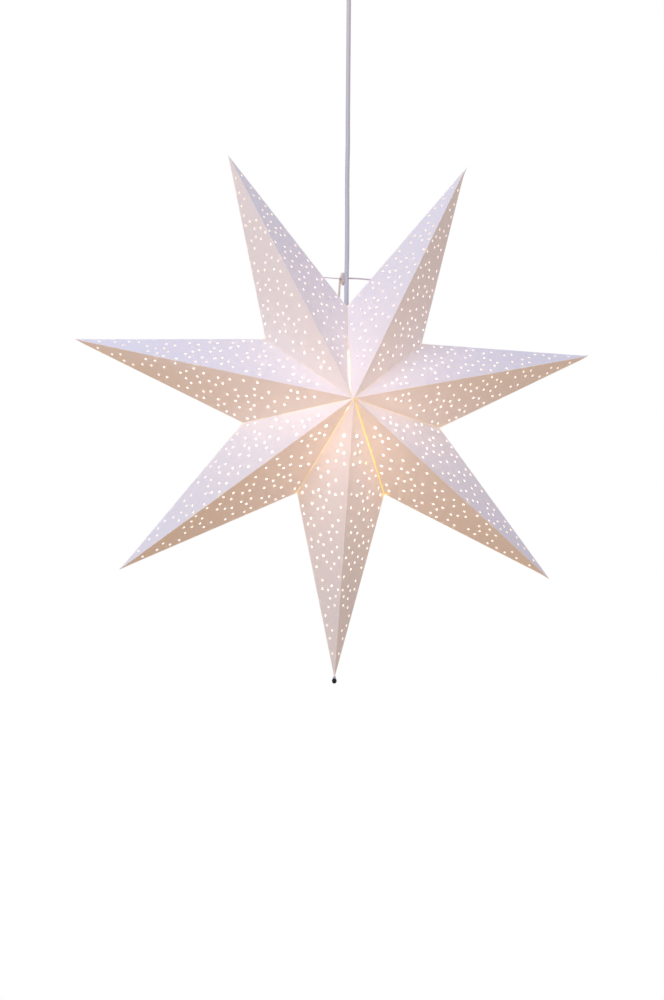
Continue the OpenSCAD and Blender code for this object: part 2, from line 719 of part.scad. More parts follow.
// Cup that hides the hook: a straight rim, a rounded shoulder and a short neck for the grommet
module ceiling_cup() {
    bend_r = cup_r - cup_neck_r;
    bend_h = cup_h - cup_straight_h - cup_neck_h;
    bore_r = grommet_r + slip;
    steps = 10;
    turn = 90 / steps;
    outer = [for (k = [0 : steps])
        [cup_neck_r + bend_r * cos(turn * k), -bend_h * sin(turn * k) - cup_straight_h]];
    inner = [for (k = [steps : -1 : 0])
        [cup_neck_r - cup_wall + bend_r * cos(turn * k),
         -(bend_h - cup_wall) * sin(turn * k) - cup_straight_h]];
    color("white") translate([0, 0, cup_rim_z]) rotate_extrude($fn = 96) polygon(concat(
        [[cup_r, 0]], outer,
        [[cup_neck_r, -cup_h], [bore_r, -cup_h], [bore_r, cup_neck_h - cup_h]],
        [for (p = inner) if (p.x > bore_r) p], [[cup_r - cup_wall, 0]]));
}

// Rubber grommet in the cup's neck: it grips the cord and holds the cup up
module cup_grip() {
    bore_r = cord_r + grommet_room;
    color("dimgray") translate([0, 0, cup_low_z - grommet_lip_h]) rotate_extrude($fn = 72) polygon([
        [bore_r, 0], [grommet_lip_r, 0], [grommet_lip_r, grommet_lip_h],
        [grommet_r, grommet_lip_h], [grommet_r, grommet_lip_h + grommet_h],
        [bore_r, grommet_lip_h + grommet_h]]);
}

paper_arm(0);  // arm_top_left
paper_arm(1);  // arm_top_right
paper_arm(2);  // arm_right
paper_arm(3);  // arm_lower_right
paper_arm(4);  // arm_bottom
paper_arm(5);  // arm_lower_left
paper_arm(6);  // arm_left
tie_string();
tip_bead();
bead_collar();
star_bracket();
cord();
cord_grip();
holder_cap();
holder_skirt();
holder_core();
screw_sleeve();
centre_contact();
side_contact();
terminal_screws();
bulb_globe();
bulb_collar();
filament_carrier();
bulb_screw_shell();
bulb_insulator();
bulb_contact();
ceiling_hook();
hanger_ring();
cord_hanger();
hanger_screw();
terminal_block();
block_screws();
ceiling_cup();
cup_grip();
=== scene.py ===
import math

import bmesh
import bpy
from mathutils import Matrix, Vector
from mathutils.geometry import delaunay_2d_cdt


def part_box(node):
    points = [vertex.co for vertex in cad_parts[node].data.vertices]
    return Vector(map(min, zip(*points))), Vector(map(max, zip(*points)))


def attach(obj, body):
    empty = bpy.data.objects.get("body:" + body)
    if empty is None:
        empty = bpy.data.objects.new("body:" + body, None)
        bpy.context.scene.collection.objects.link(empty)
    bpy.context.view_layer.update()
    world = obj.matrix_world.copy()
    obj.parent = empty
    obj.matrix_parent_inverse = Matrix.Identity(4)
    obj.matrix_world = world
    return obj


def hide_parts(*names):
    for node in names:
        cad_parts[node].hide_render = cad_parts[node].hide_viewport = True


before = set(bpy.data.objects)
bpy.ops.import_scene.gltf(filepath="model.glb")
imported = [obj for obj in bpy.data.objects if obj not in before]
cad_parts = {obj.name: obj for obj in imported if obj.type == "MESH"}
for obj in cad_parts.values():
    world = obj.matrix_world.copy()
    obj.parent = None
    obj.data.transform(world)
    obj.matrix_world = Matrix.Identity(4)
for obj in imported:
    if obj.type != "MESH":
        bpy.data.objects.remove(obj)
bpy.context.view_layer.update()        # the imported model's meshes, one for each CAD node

bl_info = {
    "name": "Advent star light",
    "version": (1, 0, 0),
    "blender": (4, 5, 0),
    "location": "3D View > Sidebar > Star light",
    "description": "Dresses a folded and punched paper star, its lamp and its ceiling fitting",
    "category": "Add Mesh",
}

MM = 0.001
# The picture's size in pixels
PICTURE_WIDTH = 664
PICTURE_HEIGHT = 1000

# The arms, clockwise from the seam at the top
ARMS = (
    "arm_top_left", "arm_top_right", "arm_right", "arm_lower_right",
    "arm_bottom", "arm_lower_left", "arm_left",
)


def linear(code):
    """An sRGB hex colour as linear red, green and blue."""
    parts = [int(code[k:k + 2], 16) / 255 for k in (1, 3, 5)]
    return tuple(c / 12.92 if c <= 0.04045 else ((c + 0.055) / 1.055) ** 2.4 for c in parts)


def colour_prop(name, description, code):
    return bpy.props.FloatVectorProperty(
        name=name, description=description, default=linear(code), subtype="COLOR", min=0, max=1)


def length_prop(name, description, millimetres):
    return bpy.props.FloatProperty(
        name=name, description=description, default=millimetres * MM, unit="LENGTH", precision=4)


def number_prop(name, description, value):
    return bpy.props.FloatProperty(name=name, description=description, default=value, min=0)


def angle_prop(name, description, degrees):
    return bpy.props.FloatProperty(
        name=name, description=description, default=math.radians(degrees), subtype="ANGLE")


class PaperSettings(bpy.types.PropertyGroup):
    """Sizes and colours of the folded paper star."""
    thickness: length_prop("Paper", "Thickness of the paper", 0.4)
    hole_width: length_prop("Hole", "Diameter of a punched hole", 3)
    hole_pitch: length_prop("Hole pitch", "Least distance between two holes", 7.2)
    hole_margin: length_prop("Hole margin", "Least distance from a hole's edge to a crease", 1.8)
    bare_length: length_prop("Bare length", "Unpunched length beside the star's points", 40)
    bare_margin: length_prop("Bare margin", "Added to the hole margin beside the star's points", 9)
    bare_reach: length_prop("Bare reach", "How far the bare margin reaches", 110)
    hole_tries: bpy.props.IntProperty(
        name="Tries", description="Places tried for holes on each panel", default=400, min=1)
    hole_sides: bpy.props.IntProperty(
        name="Hole sides", description="Corners on the rim of a hole", default=16, min=8)
    tab_width: length_prop("Glue tab", "Width of the glue tabs along the valleys", 7)
    mesh_step: length_prop("Mesh step", "Distance between points on a panel", 9)
    fold_width: length_prop("Fold", "Half width of a pressed fold line", 0.7)
    bow: length_prop("Bow", "How far the middle of a panel bows", 0.9)
    card: colour_prop("Card", "Colour of the white card", "#f4f1f4")
    lamp_side: colour_prop("Lamp side", "Colour of the card's inner side", "#efece6")
    glow: colour_prop("Glow", "Tint of the light that comes through the card", "#fff3ea")
    # Painted light leak: the yellow tint given to light through the card along the valleys' edges
    edge_glow: colour_prop("Edge glow", "Tint of the light through the valley edges", "#ffef80")
    # A painted glow: the card's lamp side sends out this much light itself, in place of lamplight
    # scattered inside the star
    inside_glow: number_prop("Inside glow", "Lamplight scattered inside the star", 0.57)


class HangingSettings(bpy.types.PropertyGroup):
    """Sizes and colours of the cord, the tie string and the bead."""
    cord_width: length_prop("Cord", "Diameter of the cord", 5)
    string_width: length_prop("String", "Diameter of the tie string", 1.4)
    tail_width: length_prop("Tail", "Diameter of the string's tail", 2.6)
    sheath: colour_prop("Sheath", "Colour of the cord's sheath", "#c8cad4")
    string: colour_prop("String", "Colour of the tie string", "#efe2ee")
    # The knotted end is the same cotton as the string, in a paler and warmer colour: painted warm
    # lamplight
    tail: colour_prop("Tail", "Colour of the knotted end", "#fff0e4")
    bead: colour_prop("Bead", "Colour of the dark bead", "#2a2a2e")


class LampSettings(bpy.types.PropertyGroup):
    """Sizes, colours and power of the bulb and the lampholder."""
    globe_wall: length_prop("Globe wall", "Wall of the bulb's globe", 0.8)
    light: colour_prop("Light", "Colour of the lit globe", "#fff3e9")
    power: number_prop("Power", "Brightness of the lit globe", 12)
    plastic: colour_prop("Holder", "Colour of the moulded lampholder", "#f1f0ec")


class StageSettings(bpy.types.PropertyGroup):
    """The camera, the floor and the studio light."""
    distance: length_prop("Distance", "Distance of the camera from the star", 1400)
    yaw: angle_prop("Yaw", "How far the camera stands to the left of the star's front", 9.118)
    pitch: angle_prop("Pitch", "How far the camera stands below the star's middle", 4.565)
    roll: angle_prop("Roll", "Anticlockwise tilt of the camera", 0.464)
    focal_pixels: number_prop("Focal length", "Focal length in pixels of the picture", 1267.6)
    axis_right: number_prop("Axis right", "Pixel column of the camera's axis", 345.2)
    axis_down: number_prop("Axis down", "Pixel row of the camera's axis", 403.4)
    room_height: length_prop("Room height", "Height from the floor to the ceiling", 2400)
    floor: colour_prop("Floor", "Colour of the pale floor", "#ecdcc0")
    above: colour_prop("Above", "Colour of the light from above", "#85799e")
    level: colour_prop("Level", "Colour of the light from the sides", "#b1bcb8")
    below: colour_prop("Below", "Colour of the light from below", "#e59b00")


# Places and shapes in the star's own terms

def node_points(name):
    """The corners of a CAD node's mesh, in millimetres."""
    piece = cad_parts[name]
    return [piece.matrix_world @ v.co / MM for v in piece.data.vertices]


class FoldedArm:
    """One arm of the star, read from its CAD sheet, in millimetres."""

    def __init__(self, index):
        self.index = index
        points = node_points(ARMS[index])
        self.front = min(points, key=lambda p: p.y)
        self.back = max(points, key=lambda p: p.y)
        self.centre = (self.front + self.back) / 2
        self.tip = max(points, key=lambda p: (p - self.centre).length)
        self.out = self.flat(self.tip).normalized()
        self.side = Vector((self.out.z, 0, -self.out.x))
        self.left = min(points, key=lambda p: (p - self.centre).dot(self.side))
        self.right = max(points, key=lambda p: (p - self.centre).dot(self.side))
        self.half_depth = (self.back.y - self.front.y) / 2

    def flat(self, point):
        """The way from the star's centre to a point, seen from the front."""
        way = point - self.centre
        return Vector((way.x, 0, way.z))


def smooth(x):
    x = min(1, max(0, x))
    return x * x * (3 - 2 * x)


def profile(x, *knots):
    """A smooth curve through knots (x, y)."""
    for (xa, ya), (xb, yb) in zip(knots, knots[1:]):
        if x <= xb:
            return ya + (yb - ya) * smooth((x - xa) / (xb - xa))
    return knots[-1][1]


# Mesh helpers

def join(points, faces, more, walls):
    """Adds points, and the faces between them, to a mesh in the making."""
    faces += [tuple(k + len(points) for k in wall) for wall in walls]
    points += more


def around(right, up, turn):
    """The direction at an angle between two directions at right angles."""
    return right * math.cos(turn) + up * math.sin(turn)


def in_millimetres(name, points, faces):
    """An object from points in millimetres and faces."""
    mesh = bpy.data.meshes.new(name)
    mesh.from_pydata([p * MM for p in points], [], faces)
    mesh.update()
    piece = bpy.data.objects.new(name, mesh)
    bpy.context.scene.collection.objects.link(piece)
    return piece


def tidy(piece, weld=0.004, sharp=28):
    """Welds points that meet, turns the faces outwards, and keeps only real folds sharp."""
    shape = bmesh.new()
    shape.from_mesh(piece.data)
    bmesh.ops.remove_doubles(shape, verts=shape.verts, dist=weld * MM)
    bmesh.ops.dissolve_degenerate(shape, edges=shape.edges, dist=weld * MM / 4)
    bmesh.ops.recalc_face_normals(shape, faces=shape.faces)
    if shape.calc_volume(signed=True) < 0:
        bmesh.ops.reverse_faces(shape, faces=shape.faces)
    for face in shape.faces:
        face.smooth = True
    for edge in shape.edges:
        edge.smooth = len(edge.link_faces) == 2 and edge.calc_face_angle(0) < math.radians(sharp)
    shape.to_mesh(piece.data)
    shape.free()
    return piece


def with_modifiers(piece):
    """Makes a piece's modifiers part of its mesh."""
    graph = bpy.context.evaluated_depsgraph_get()
    made = bpy.data.meshes.new_from_object(piece.evaluated_get(graph))
    piece.modifiers.clear()
    piece.data = made
    return piece


def lathe(name, outline, low, sides):
    """A body of revolution on the Z axis, from an outline of (radius, height) above low."""
    points = []
    faces = []
    for k in range(sides):
        turn = math.tau * k / sides
        points += [Vector((r * math.cos(turn), r * math.sin(turn), low + h)) for r, h in outline]
    count = len(outline)
    for k in range(sides):
        a = k * count
        b = (k + 1) % sides * count
        for j in range(count):
            i = (j + 1) % count
            faces.append((a + j, b + j, b + i, a + i))
    return tidy(in_millimetres(name, points, faces))


def curve_through(points, step):
    """Points about step apart on a smooth curve through the given ones."""
    ends = [points[0] * 2 - points[1], *points, points[-1] * 2 - points[-2]]
    made = []
    for a, b, c, d in zip(ends, ends[1:], ends[2:], ends[3:]):
        count = max(1, round((c - b).length / step))
        for k in range(count):
            t = k / count
            made.append(0.5 * (2 * b + (c - a) * t + (2 * a - 5 * b + 4 * c - d) * t * t
                               + (3 * b - a - 3 * c + d) * t ** 3))
    return made + [points[-1]]


def sides_along(path):
    """The direction and a steady sideways direction at each point of a path."""
    frames = []
    side = None
    for k in range(len(path)):
        ahead = (path[min(k + 1, len(path) - 1)] - path[max(k - 1, 0)]).normalized()
        side = ahead.orthogonal() if side is None else side - ahead * side.dot(ahead)
        side.normalize()
        frames.append((ahead, side.copy()))
    return frames


def tube(path, radius, sides):
    """Points and faces of a closed tube. The radius is one number or a function of the index."""
    points = []
    faces = []
    for k, (ahead, side) in enumerate(sides_along(path)):
        across = ahead.cross(side)
        size = radius(k) if callable(radius) else radius
        for j in range(sides):
            turn = math.tau * j / sides
            points.append(path[k] + size * around(side, across, turn))
    for k in range(len(path) - 1):
        for j in range(sides):
            a = k * sides
            i = (j + 1) % sides
            faces.append((a + j, a + i, a + sides + i, a + sides + j))
    faces.append(range(sides)[::-1])
    faces.append(range(len(points) - sides, len(points)))
    return points, faces


def twisted(path, radius, pitch):
    """Two closed plies that wind round a path, as string is laid, a little pressed together."""
    pressed = 1.08
    frames = sides_along(path)
    run = [0.0]
    for a, b in zip(path, path[1:]):
        run.append(run[-1] + (b - a).length)
    points = []
    faces = []
    for start in (0, 0.5):
        ply = []
        for k, (ahead, side) in enumerate(frames):
            way = around(side, ahead.cross(side), math.tau * (run[k] / pitch + start))
            ply.append(path[k] + radius / 2 * way)
        join(points, faces, *tube(ply, radius / 2 * pressed, 8))
    return points, faces


# Material helpers

def add(tree, kind, values=(), links=()):
    """Adds a node. A value's key is a socket or a setting of the node, and a link's is a socket."""
    node = tree.nodes.new("ShaderNode" + kind)
    for key, value in dict(values).items():
        if isinstance(key, str) and key in node.bl_rna.properties:
            setattr(node, key, value)
        else:
            node.inputs[key].default_value = value
    for key, source in dict(links).items():
        tree.links.new(source, node.inputs[key])
    return node


def new_material(name):
    """An empty material, its node tree and its object coordinates."""
    material = bpy.data.materials.new(name)
    material.use_nodes = True
    tree = material.node_tree
    tree.nodes.clear()
    return material, tree, add(tree, "TexCoord").outputs["Object"]


def finished(material, surface):
    add(material.node_tree, "OutputMaterial", (), {"Surface": surface})
    return material


def shaded(tree, low, high, factor):
    """Two colours mixed by a pattern. The first may be another node's output."""
    mixed = add(tree, "Mix", {"data_type": "RGBA", 7: (*high, 1)}, {0: factor})
    if isinstance(low, bpy.types.NodeSocket):
        tree.links.new(low, mixed.inputs[6])
    else:
        mixed.inputs[6].default_value = (*low, 1)
    return mixed.outputs[2]


def dimmed(colour, share):
    return tuple(c * share for c in colour)


# Size in millimetres of the patches over which a solid material's colour and gloss vary
PATCH = 22


def surface_material(name, colour, spread, grain, relief, roughness, **shader):
    """A solid material: its colour varies by spread over patches, and grain is its texture's size
    in millimetres with relief as its depth."""
    material, tree, place = new_material(name)
    patches = add(tree, "TexNoise", {"Scale": 1 / (PATCH * MM), "Detail": 3}, {"Vector": place})
    colours = shaded(tree, dimmed(colour, 1 - spread), colour, patches.outputs["Fac"])
    texture = add(tree, "TexNoise", {"Scale": 1 / (grain * MM), "Detail": 4}, {"Vector": place})
    bump = add(tree, "Bump", {"Strength": 0.6, "Distance": relief * MM},
               {"Height": texture.outputs["Fac"]})
    wear = add(tree, "MapRange", {"To Min": roughness * 0.85, "To Max": min(1, roughness * 1.15)},
               {"Value": patches.outputs["Fac"]})
    body = add(tree, "BsdfPrincipled", shader,
               {"Base Color": colours, "Normal": bump.outputs["Normal"],
                "Roughness": wear.outputs["Result"]})
    return finished(material, body.outputs["BSDF"])


def dress(piece, material, body, node):
    """Finishes a piece: its material, its body and the CAD node that it stands for."""
    piece.data.materials.clear()
    piece.data.materials.append(material)
    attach(piece, body)
    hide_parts(node)


# Materials

# The lamp's reach as a share of an arm's length, and how much of the painted inner glow, light that
# the card's lamp side sends out itself, is left there
LAMP_REACH = 0.8
GLOW_LEFT = 0.44
# Colours of the painted inner glow at the star's centre and at the lamp's reach, and of a pressed
# fold
GLOW_NEAR = "#eeedff"
GLOW_FAR = "#fff0ea"
FOLD_WHITE = "#fffdfb"
# Share of the light that passes the card: at the star's centre, at the lamp's reach, and at the
# pressed edges of the valleys. Its fall towards the tips is painted shade, and its rise at the
# valleys' edges a painted light leak
SHEER_NEAR = 0.35
SHEER_FAR = 0.02
SHEER_EDGE = 0.8


def punched_card(settings, name, colour, glow=0):
    """White card of about 250 g, cut, punched and creased. Its matt fibres give it a soft, even
    white. Lamplight comes through it warmer and a little cloudy, and pressed folds are whiter.
    Towards the tips less light comes through, a painted shade, and along the valleys' edges more,
    tinted yellow, a painted light leak. The lamp side is duller, and carries a painted glow: it
    sends out light itself, which makes the holes shine."""
    material, tree, place = new_material(name)
    # Cloudy formation of the pulp, 5 mm across
    cloud = add(tree, "TexNoise", {"Scale": 1 / (5 * MM), "Detail": 4, "Roughness": 0.6},
                {"Vector": place})
    # Fibres are about 0.1 mm thick, drawn here 0.8 mm apart so that they show
    fibres = add(tree, "TexNoise", {"Scale": 1 / (0.8 * MM), "Detail": 3, "Roughness": 0.7},
                 {"Vector": place})
    bump = add(tree, "Bump", {"Strength": 0.35, "Distance": 0.05 * MM},
               {"Height": fibres.outputs["Fac"]})
    fold = add(tree, "Attribute", {"attribute_name": "fold"})
    body_tint = shaded(tree, dimmed(colour, 0.96), colour, cloud.outputs["Fac"])
    tint = shaded(tree, body_tint, linear(FOLD_WHITE), fold.outputs["Fac"])
    arm = FoldedArm(0)
    away = add(tree, "VectorMath", {"operation": "DISTANCE", 1: arm.centre * MM}, {0: place})
    reach = LAMP_REACH * arm.flat(arm.tip).length * MM

    def outward(near, far):
        """A value that changes from the star's centre out to the lamp's reach."""
        return add(tree, "MapRange", {"From Max": reach, "To Min": near, "To Max": far},
                   {"Value": away.outputs["Value"]}).outputs["Result"]

    skin = {"Base Color": tint, "Normal": bump.outputs["Normal"]}
    if glow:
        # Painted glow: the lamp side sends out light itself, in place of lamplight scattered
        # inside. Far out in an arm it is weaker and warmer
        skin["Emission Color"] = shaded(tree, linear(GLOW_NEAR), linear(GLOW_FAR), outward(0, 1))
        skin["Emission Strength"] = outward(glow, GLOW_LEFT * glow)
    sheet = add(tree, "BsdfPrincipled",
                {"Roughness": 0.82, "IOR": 1.46, "Specular IOR Level": 0.25}, skin)
    through = shaded(tree, dimmed(settings.glow, 0.9), settings.glow, cloud.outputs["Fac"])
    # Painted light leak: along the valleys' edges the light through the card is tinted yellow
    edge = add(tree, "Attribute", {"attribute_name": "pressed"})
    golden = shaded(tree, through, settings.edge_glow, edge.outputs["Fac"])
    veil = add(tree, "BsdfTranslucent", (), {"Color": golden, "Normal": bump.outputs["Normal"]})
    # Less light passes the card towards the tips, which darkens them: painted shade. Along the
    # valleys' edges more passes: a painted light leak
    share = add(tree, "Mix", {"data_type": "FLOAT", 3: SHEER_EDGE},
                {0: edge.outputs["Fac"], 2: outward(SHEER_NEAR, SHEER_FAR)})
    card = add(tree, "MixShader", (),
               {0: share.outputs[0], 1: sheet.outputs[0], 2: veil.outputs[0]})
    return finished(material, card.outputs[0])


def twisted_cotton(name, colour):
    """Two-ply cotton: matt, with fine fibres that catch the light along each ply."""
    material, tree, place = new_material(name)
    # Yarn fibres lie about 0.25 mm apart
    fibres = add(tree, "TexNoise", {"Scale": 1 / (0.25 * MM), "Detail": 2}, {"Vector": place})
    tint = shaded(tree, dimmed(colour, 0.7), colour, fibres.outputs["Fac"])
    bump = add(tree, "Bump", {"Strength": 0.7, "Distance": 0.08 * MM},
               {"Height": fibres.outputs["Fac"]})
    yarn = add(tree, "BsdfPrincipled",
               {"Roughness": 0.9, "Sheen Weight": 0.3, "Sheen Roughness": 0.5},
               {"Base Color": tint, "Normal": bump.outputs["Normal"]})
    return finished(material, yarn.outputs[0])


# Operators

# What the camera looks at, in millimetres: the middle of the star
CAMERA_AIM = Vector((-1, -3.7, -540))


class STAR_OT_camera(bpy.types.Operator):
    """Stand the camera where the photograph was taken"""
    bl_idname = "star.camera"
    bl_label = "Photograph's camera"

    def execute(self, context):
        stage = context.scene.star_stage
        data = bpy.data.cameras.new("camera")
        data.sensor_width = 36
        data.lens = stage.focal_pixels / PICTURE_HEIGHT * data.sensor_width
        data.shift_x = (PICTURE_WIDTH / 2 - stage.axis_right) / PICTURE_HEIGHT
        data.shift_y = (stage.axis_down - PICTURE_HEIGHT / 2) / PICTURE_HEIGHT
        data.clip_start = 0.05
        data.clip_end = 60
        camera = bpy.data.objects.new("camera", data)
        context.scene.collection.objects.link(camera)
        turn = (Matrix.Rotation(-stage.yaw, 3, "Z") @ Matrix.Rotation(stage.pitch, 3, "X")
                @ Matrix.Rotation(-stage.roll, 3, "Y"))
        camera.location = CAMERA_AIM * MM + turn @ Vector((0, -stage.distance, 0))
        camera.rotation_euler = (turn @ Matrix.Rotation(math.pi / 2, 3, "X")).to_euler()
        context.scene.camera = camera
        return {"FINISHED"}


# Distance between points along the cord, in millimetres, and the faces round it
CORD_STEP = 3
CORD_SIDES = 32


class STAR_OT_cord(bpy.types.Operator):
    """Sweep the cord from the hanger down to the lampholder"""
    bl_idname = "star.cord"
    bl_label = "Cord"

    def execute(self, context):
        settings = context.scene.star_hanging
        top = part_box("cord")[1].z / MM
        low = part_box("cord")[0].z / MM
        # Where the cord passes the star's seam. It runs straight there, and is slightly wavy above
        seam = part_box("holder_cap")[1].z / MM + 30
        route = [(0, 0, top), (0, 0, top - 10), (0, 0, -80), (0, 0, -110), (0, 0, -140),
                 (0, 0, -170), (0, 0, -200), (0, 0, -225), (0.2, 0, -245), (-0.1, 0.1, -272),
                 (-0.1, 0.2, -300), (0.2, 0.2, -325), (0.3, 0.1, -350), (0.3, 0, -370),
                 (0.2, 0, -385), (0, 0, seam + 36), (0, 0, seam + 20), (0, 0, seam),
                 (0, 0, seam - 20), (0, 0, seam - 30), (0, 0, low)]
        path = curve_through([Vector(p) for p in route], CORD_STEP)
        radius = settings.cord_width / 2 / MM
        piece = tidy(in_millimetres("cord_sheath", *tube(path, radius, CORD_SIDES)))
        # Extruded over twisted cores: smooth and slightly satin, with a faint lie of the cores
        sheath = surface_material("extruded PVC sheath", settings.sheath, 0.06, 1.4, 0.04, 0.42,
                                  IOR=1.53)
        dress(piece, sheath, "pendant", "cord")
        return {"FINISHED"}


class STAR_OT_arms(bpy.types.Operator):
    """Fold the seven punched paper arms"""
    bl_idname = "star.arms"
    bl_label = "Paper arms"

    def execute(self, context):
        settings = context.scene.star_paper
        outer = punched_card(settings, "punched white card", settings.card)
        # The lamp side carries a painted glow: its card sends out light itself
        inner = punched_card(settings, "punched white card, lamp side, painted glow", settings.lamp_side,
                             settings.inside_glow)
        for index, name in enumerate(ARMS):
            piece = fold_arm(FoldedArm(index), settings, outer, inner)
            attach(piece, "shade")
            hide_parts(name)
        return {"FINISHED"}


# The seven valleys, from the seam's on: the gap outside and the gap between the tabs, in
# millimetres, the tabs' width as a share, and how strong the painted light leak along its edge is:
# more light let through the card there, tinted yellow
VALLEYS = ((0, 0, 1, 0.3), (0.14, 0.1, 1, 0.35), (0.16, 0.1, 1, 0.45), (0.4, 0.35, 0.45, 1),
           (0.34, 0.3, 0.45, 0.45), (0.16, 0.1, 1, 0.4), (0.14, 0.1, 1, 0.35))
# How the last millimetres of each tip are bent, in millimetres to the right, back and up
TIP_BENDS = ((-0.4, 0, 0.3), (2.2, 0, 2.4), (-0.6, 0, 0.7), (0.8, 0.4, -1.4), (0, 0, 0),
             (-1.6, 0, -1), (0.3, 0, 0.5))
TIP_LENGTH = 13
# How far a tip's end is pressed flat, as a share of its depth
TIP_PRESS = 0.6
# The seam's gap in the CAD sheets, in millimetres. Then, from -1 at the front point to 1 at the
# back one, the gap that it has here and how far both its edges bend to the left
SEAM_OPEN = 2.4
SEAM_GAP = ((-1, 0), (-0.9, 1.3), (-0.72, 3), (-0.58, 3.3), (-0.47, 2.8), (-0.4, 0.4), (0, 0.7),
            (0.4, 0.5), (1, 0))
SEAM_BEND = ((-1, 0), (-0.92, 3.4), (-0.84, 3.6), (-0.5, 2), (0, 0), (1, 0))
# Share of their width that the seam's front glue tabs have, from 0 at the middle plane to 1 at the
# front point
SEAM_TABS = ((0, 1), (0.4, 1), (0.48, 0.2), (1, 0.2))
# Behind this place the seam's tabs nearly touch
SEAM_TABS_MEET = -0.42
SEAM_TABS_GAP = 0.25
# Share of a valley's half over which its gap closes to the point, and how far past the corner
# the paper still moves with it, in millimetres
GAP_END = 0.12
CORNER_FADE = 14
# Room for the cord beside its axis, and added to it where an edge is cut, in millimetres
CORD_ROOM = 3.3
CUT_CLEAR = 0.5
# Distance between points along a valley, in millimetres
VALLEY_STEP = 4


class Valley:
    """The valley on one side of an arm, and how its paper stands open."""

    def __init__(self, arm, corner, toward):
        self.arm = arm
        self.corner = corner
        self.number = (arm.index - 1) % 7 if toward < 0 else arm.index
        self.radial = arm.flat(corner).normalized()
        self.inward = Vector((-toward * self.radial.z, 0, toward * self.radial.x))
        self.radius = arm.flat(corner).length
        self.opening = math.acos(min(1, self.radial.dot(arm.out)))
        self.toward = toward

    def gap(self, q, inner):
        """Half of the gap that is still to be opened, at q from -1 in front to 1 at the back."""
        outside, between = VALLEYS[self.number][:2]
        if self.number:
            return (between if inner else outside) / 2 * smooth((1 - abs(q)) / GAP_END)
        wanted = profile(q, *SEAM_GAP)
        if inner and q > SEAM_TABS_MEET:
            wanted = min(wanted, SEAM_TABS_GAP)
        return (wanted - SEAM_OPEN * (1 - abs(q))) / 2

    def shift(self, point, inner=False):
        """How far the paper at a point moves to open the valley."""
        flat = self.arm.flat(point)
        reach = flat.length
        if reach < 1e-6:
            return Vector()
        turned = math.acos(max(-1, min(1, flat.normalized().dot(self.radial))))
        share = max(0, 1 - turned / self.opening)
        if reach > self.radius:
            share *= math.exp(-((reach - self.radius) / CORNER_FADE) ** 2)
        q = (point.y - self.arm.centre.y) / self.arm.half_depth
        moved = self.inward * self.gap(q, inner)
        if self.number == 0:
            moved += Vector((-profile(q, *SEAM_BEND), 0, 0))
        return moved * share


# The scatter of the holes along and across a panel: its factor and its step in degrees. Both
# start at SCATTER_START degrees
SCATTER = ((43758.5453, 12.9898), (24634.6345, 78.233))
SCATTER_START = 12


def hole_places(ridge, foot, reach, settings, taken):
    """Even but unordered places for holes on a panel, as on the CAD sheet, in millimetres."""
    bare = settings.bare_length / MM
    pitch = settings.hole_pitch / MM
    need = (settings.hole_width / 2 + settings.hole_margin) / MM
    extra = settings.bare_margin / MM
    rise = math.atan(reach / foot)
    fall = math.atan(reach / (ridge - foot))
    found = list(taken)
    for k in range(settings.hole_tries):
        along, across = (
            (0.5 + factor * math.sin(math.radians(k * turn + SCATTER_START))) % 1
            for factor, turn in SCATTER)
        p = Vector((ridge * along, reach * across))
        near = need + extra * max(0, 1 - p.length * MM / settings.bare_reach)
        inner = (reach / foot * p.x - p.y) * math.cos(rise)
        outer = (reach / (ridge - foot) * (ridge - p.x) - p.y) * math.cos(fall)
        if min(p.y, inner) > near and outer > need and p.length > bare:
            if all((p - other).length >= pitch for other in found):
                found.append(p)
    return found


def stations(a, b, step):
    """Points from a up to, but without, b, evenly spaced."""
    count = max(1, round((b - a).length / step))
    return [a.lerp(b, k / count) for k in range(count)]


# A panel's ripple: its share of the bow, and its length along and across in millimetres
RIPPLE = 0.25
RIPPLE_ALONG = 23
RIPPLE_ACROSS = 9


class Panel:
    """One flat panel of an arm, between a point of the star, the tip and a corner."""

    def __init__(self, arm, point, corner, valley):
        self.arm = arm
        self.point = point
        self.valley = valley
        self.along = (arm.tip - point).normalized()
        self.ridge = (arm.tip - point).length
        self.foot = (corner - point).dot(self.along)
        self.across = (corner - point - self.along * self.foot).normalized()
        self.reach = (corner - point).dot(self.across)
        self.up = self.along.cross(self.across)
        if self.up.y * (point.y - arm.centre.y) < 0:
            self.up.negate()
        # Which way the panel bows, and how much, differs from panel to panel
        number = arm.index * 4 + (0 if point is arm.front else 2) + (valley.toward > 0)
        self.bulge = math.sin(number * 2.4 + 0.7)

    def flat(self, place):
        """A place in space as a place on the panel."""
        return Vector(((place - self.point).dot(self.along), (place - self.point).dot(self.across)))

    def in_space(self, p, bow):
        """A place on the panel, bowed a little between its creases."""
        third = p.y / self.reach
        second = (p.x - self.foot * third) / self.ridge
        # 1 in the middle of the panel and 0 on its creases
        swell = 27 * max(0, third) * max(0, second) * max(0, 1 - second - third)
        ripple = (RIPPLE * math.sin(p.x / RIPPLE_ALONG + self.bulge * 9)
                  * math.sin(p.y / RIPPLE_ACROSS + self.bulge * 5))
        lift = bow * swell * (self.bulge + ripple)
        return self.point + self.along * p.x + self.across * p.y + self.up * lift

    def passes(self, x, y):
        """Height at which the panel passes over a place in plan."""
        drop = (self.up.x * (x - self.point.x) + self.up.y * (y - self.point.y)) / self.up.z
        return Vector((x, y, self.point.z - drop))


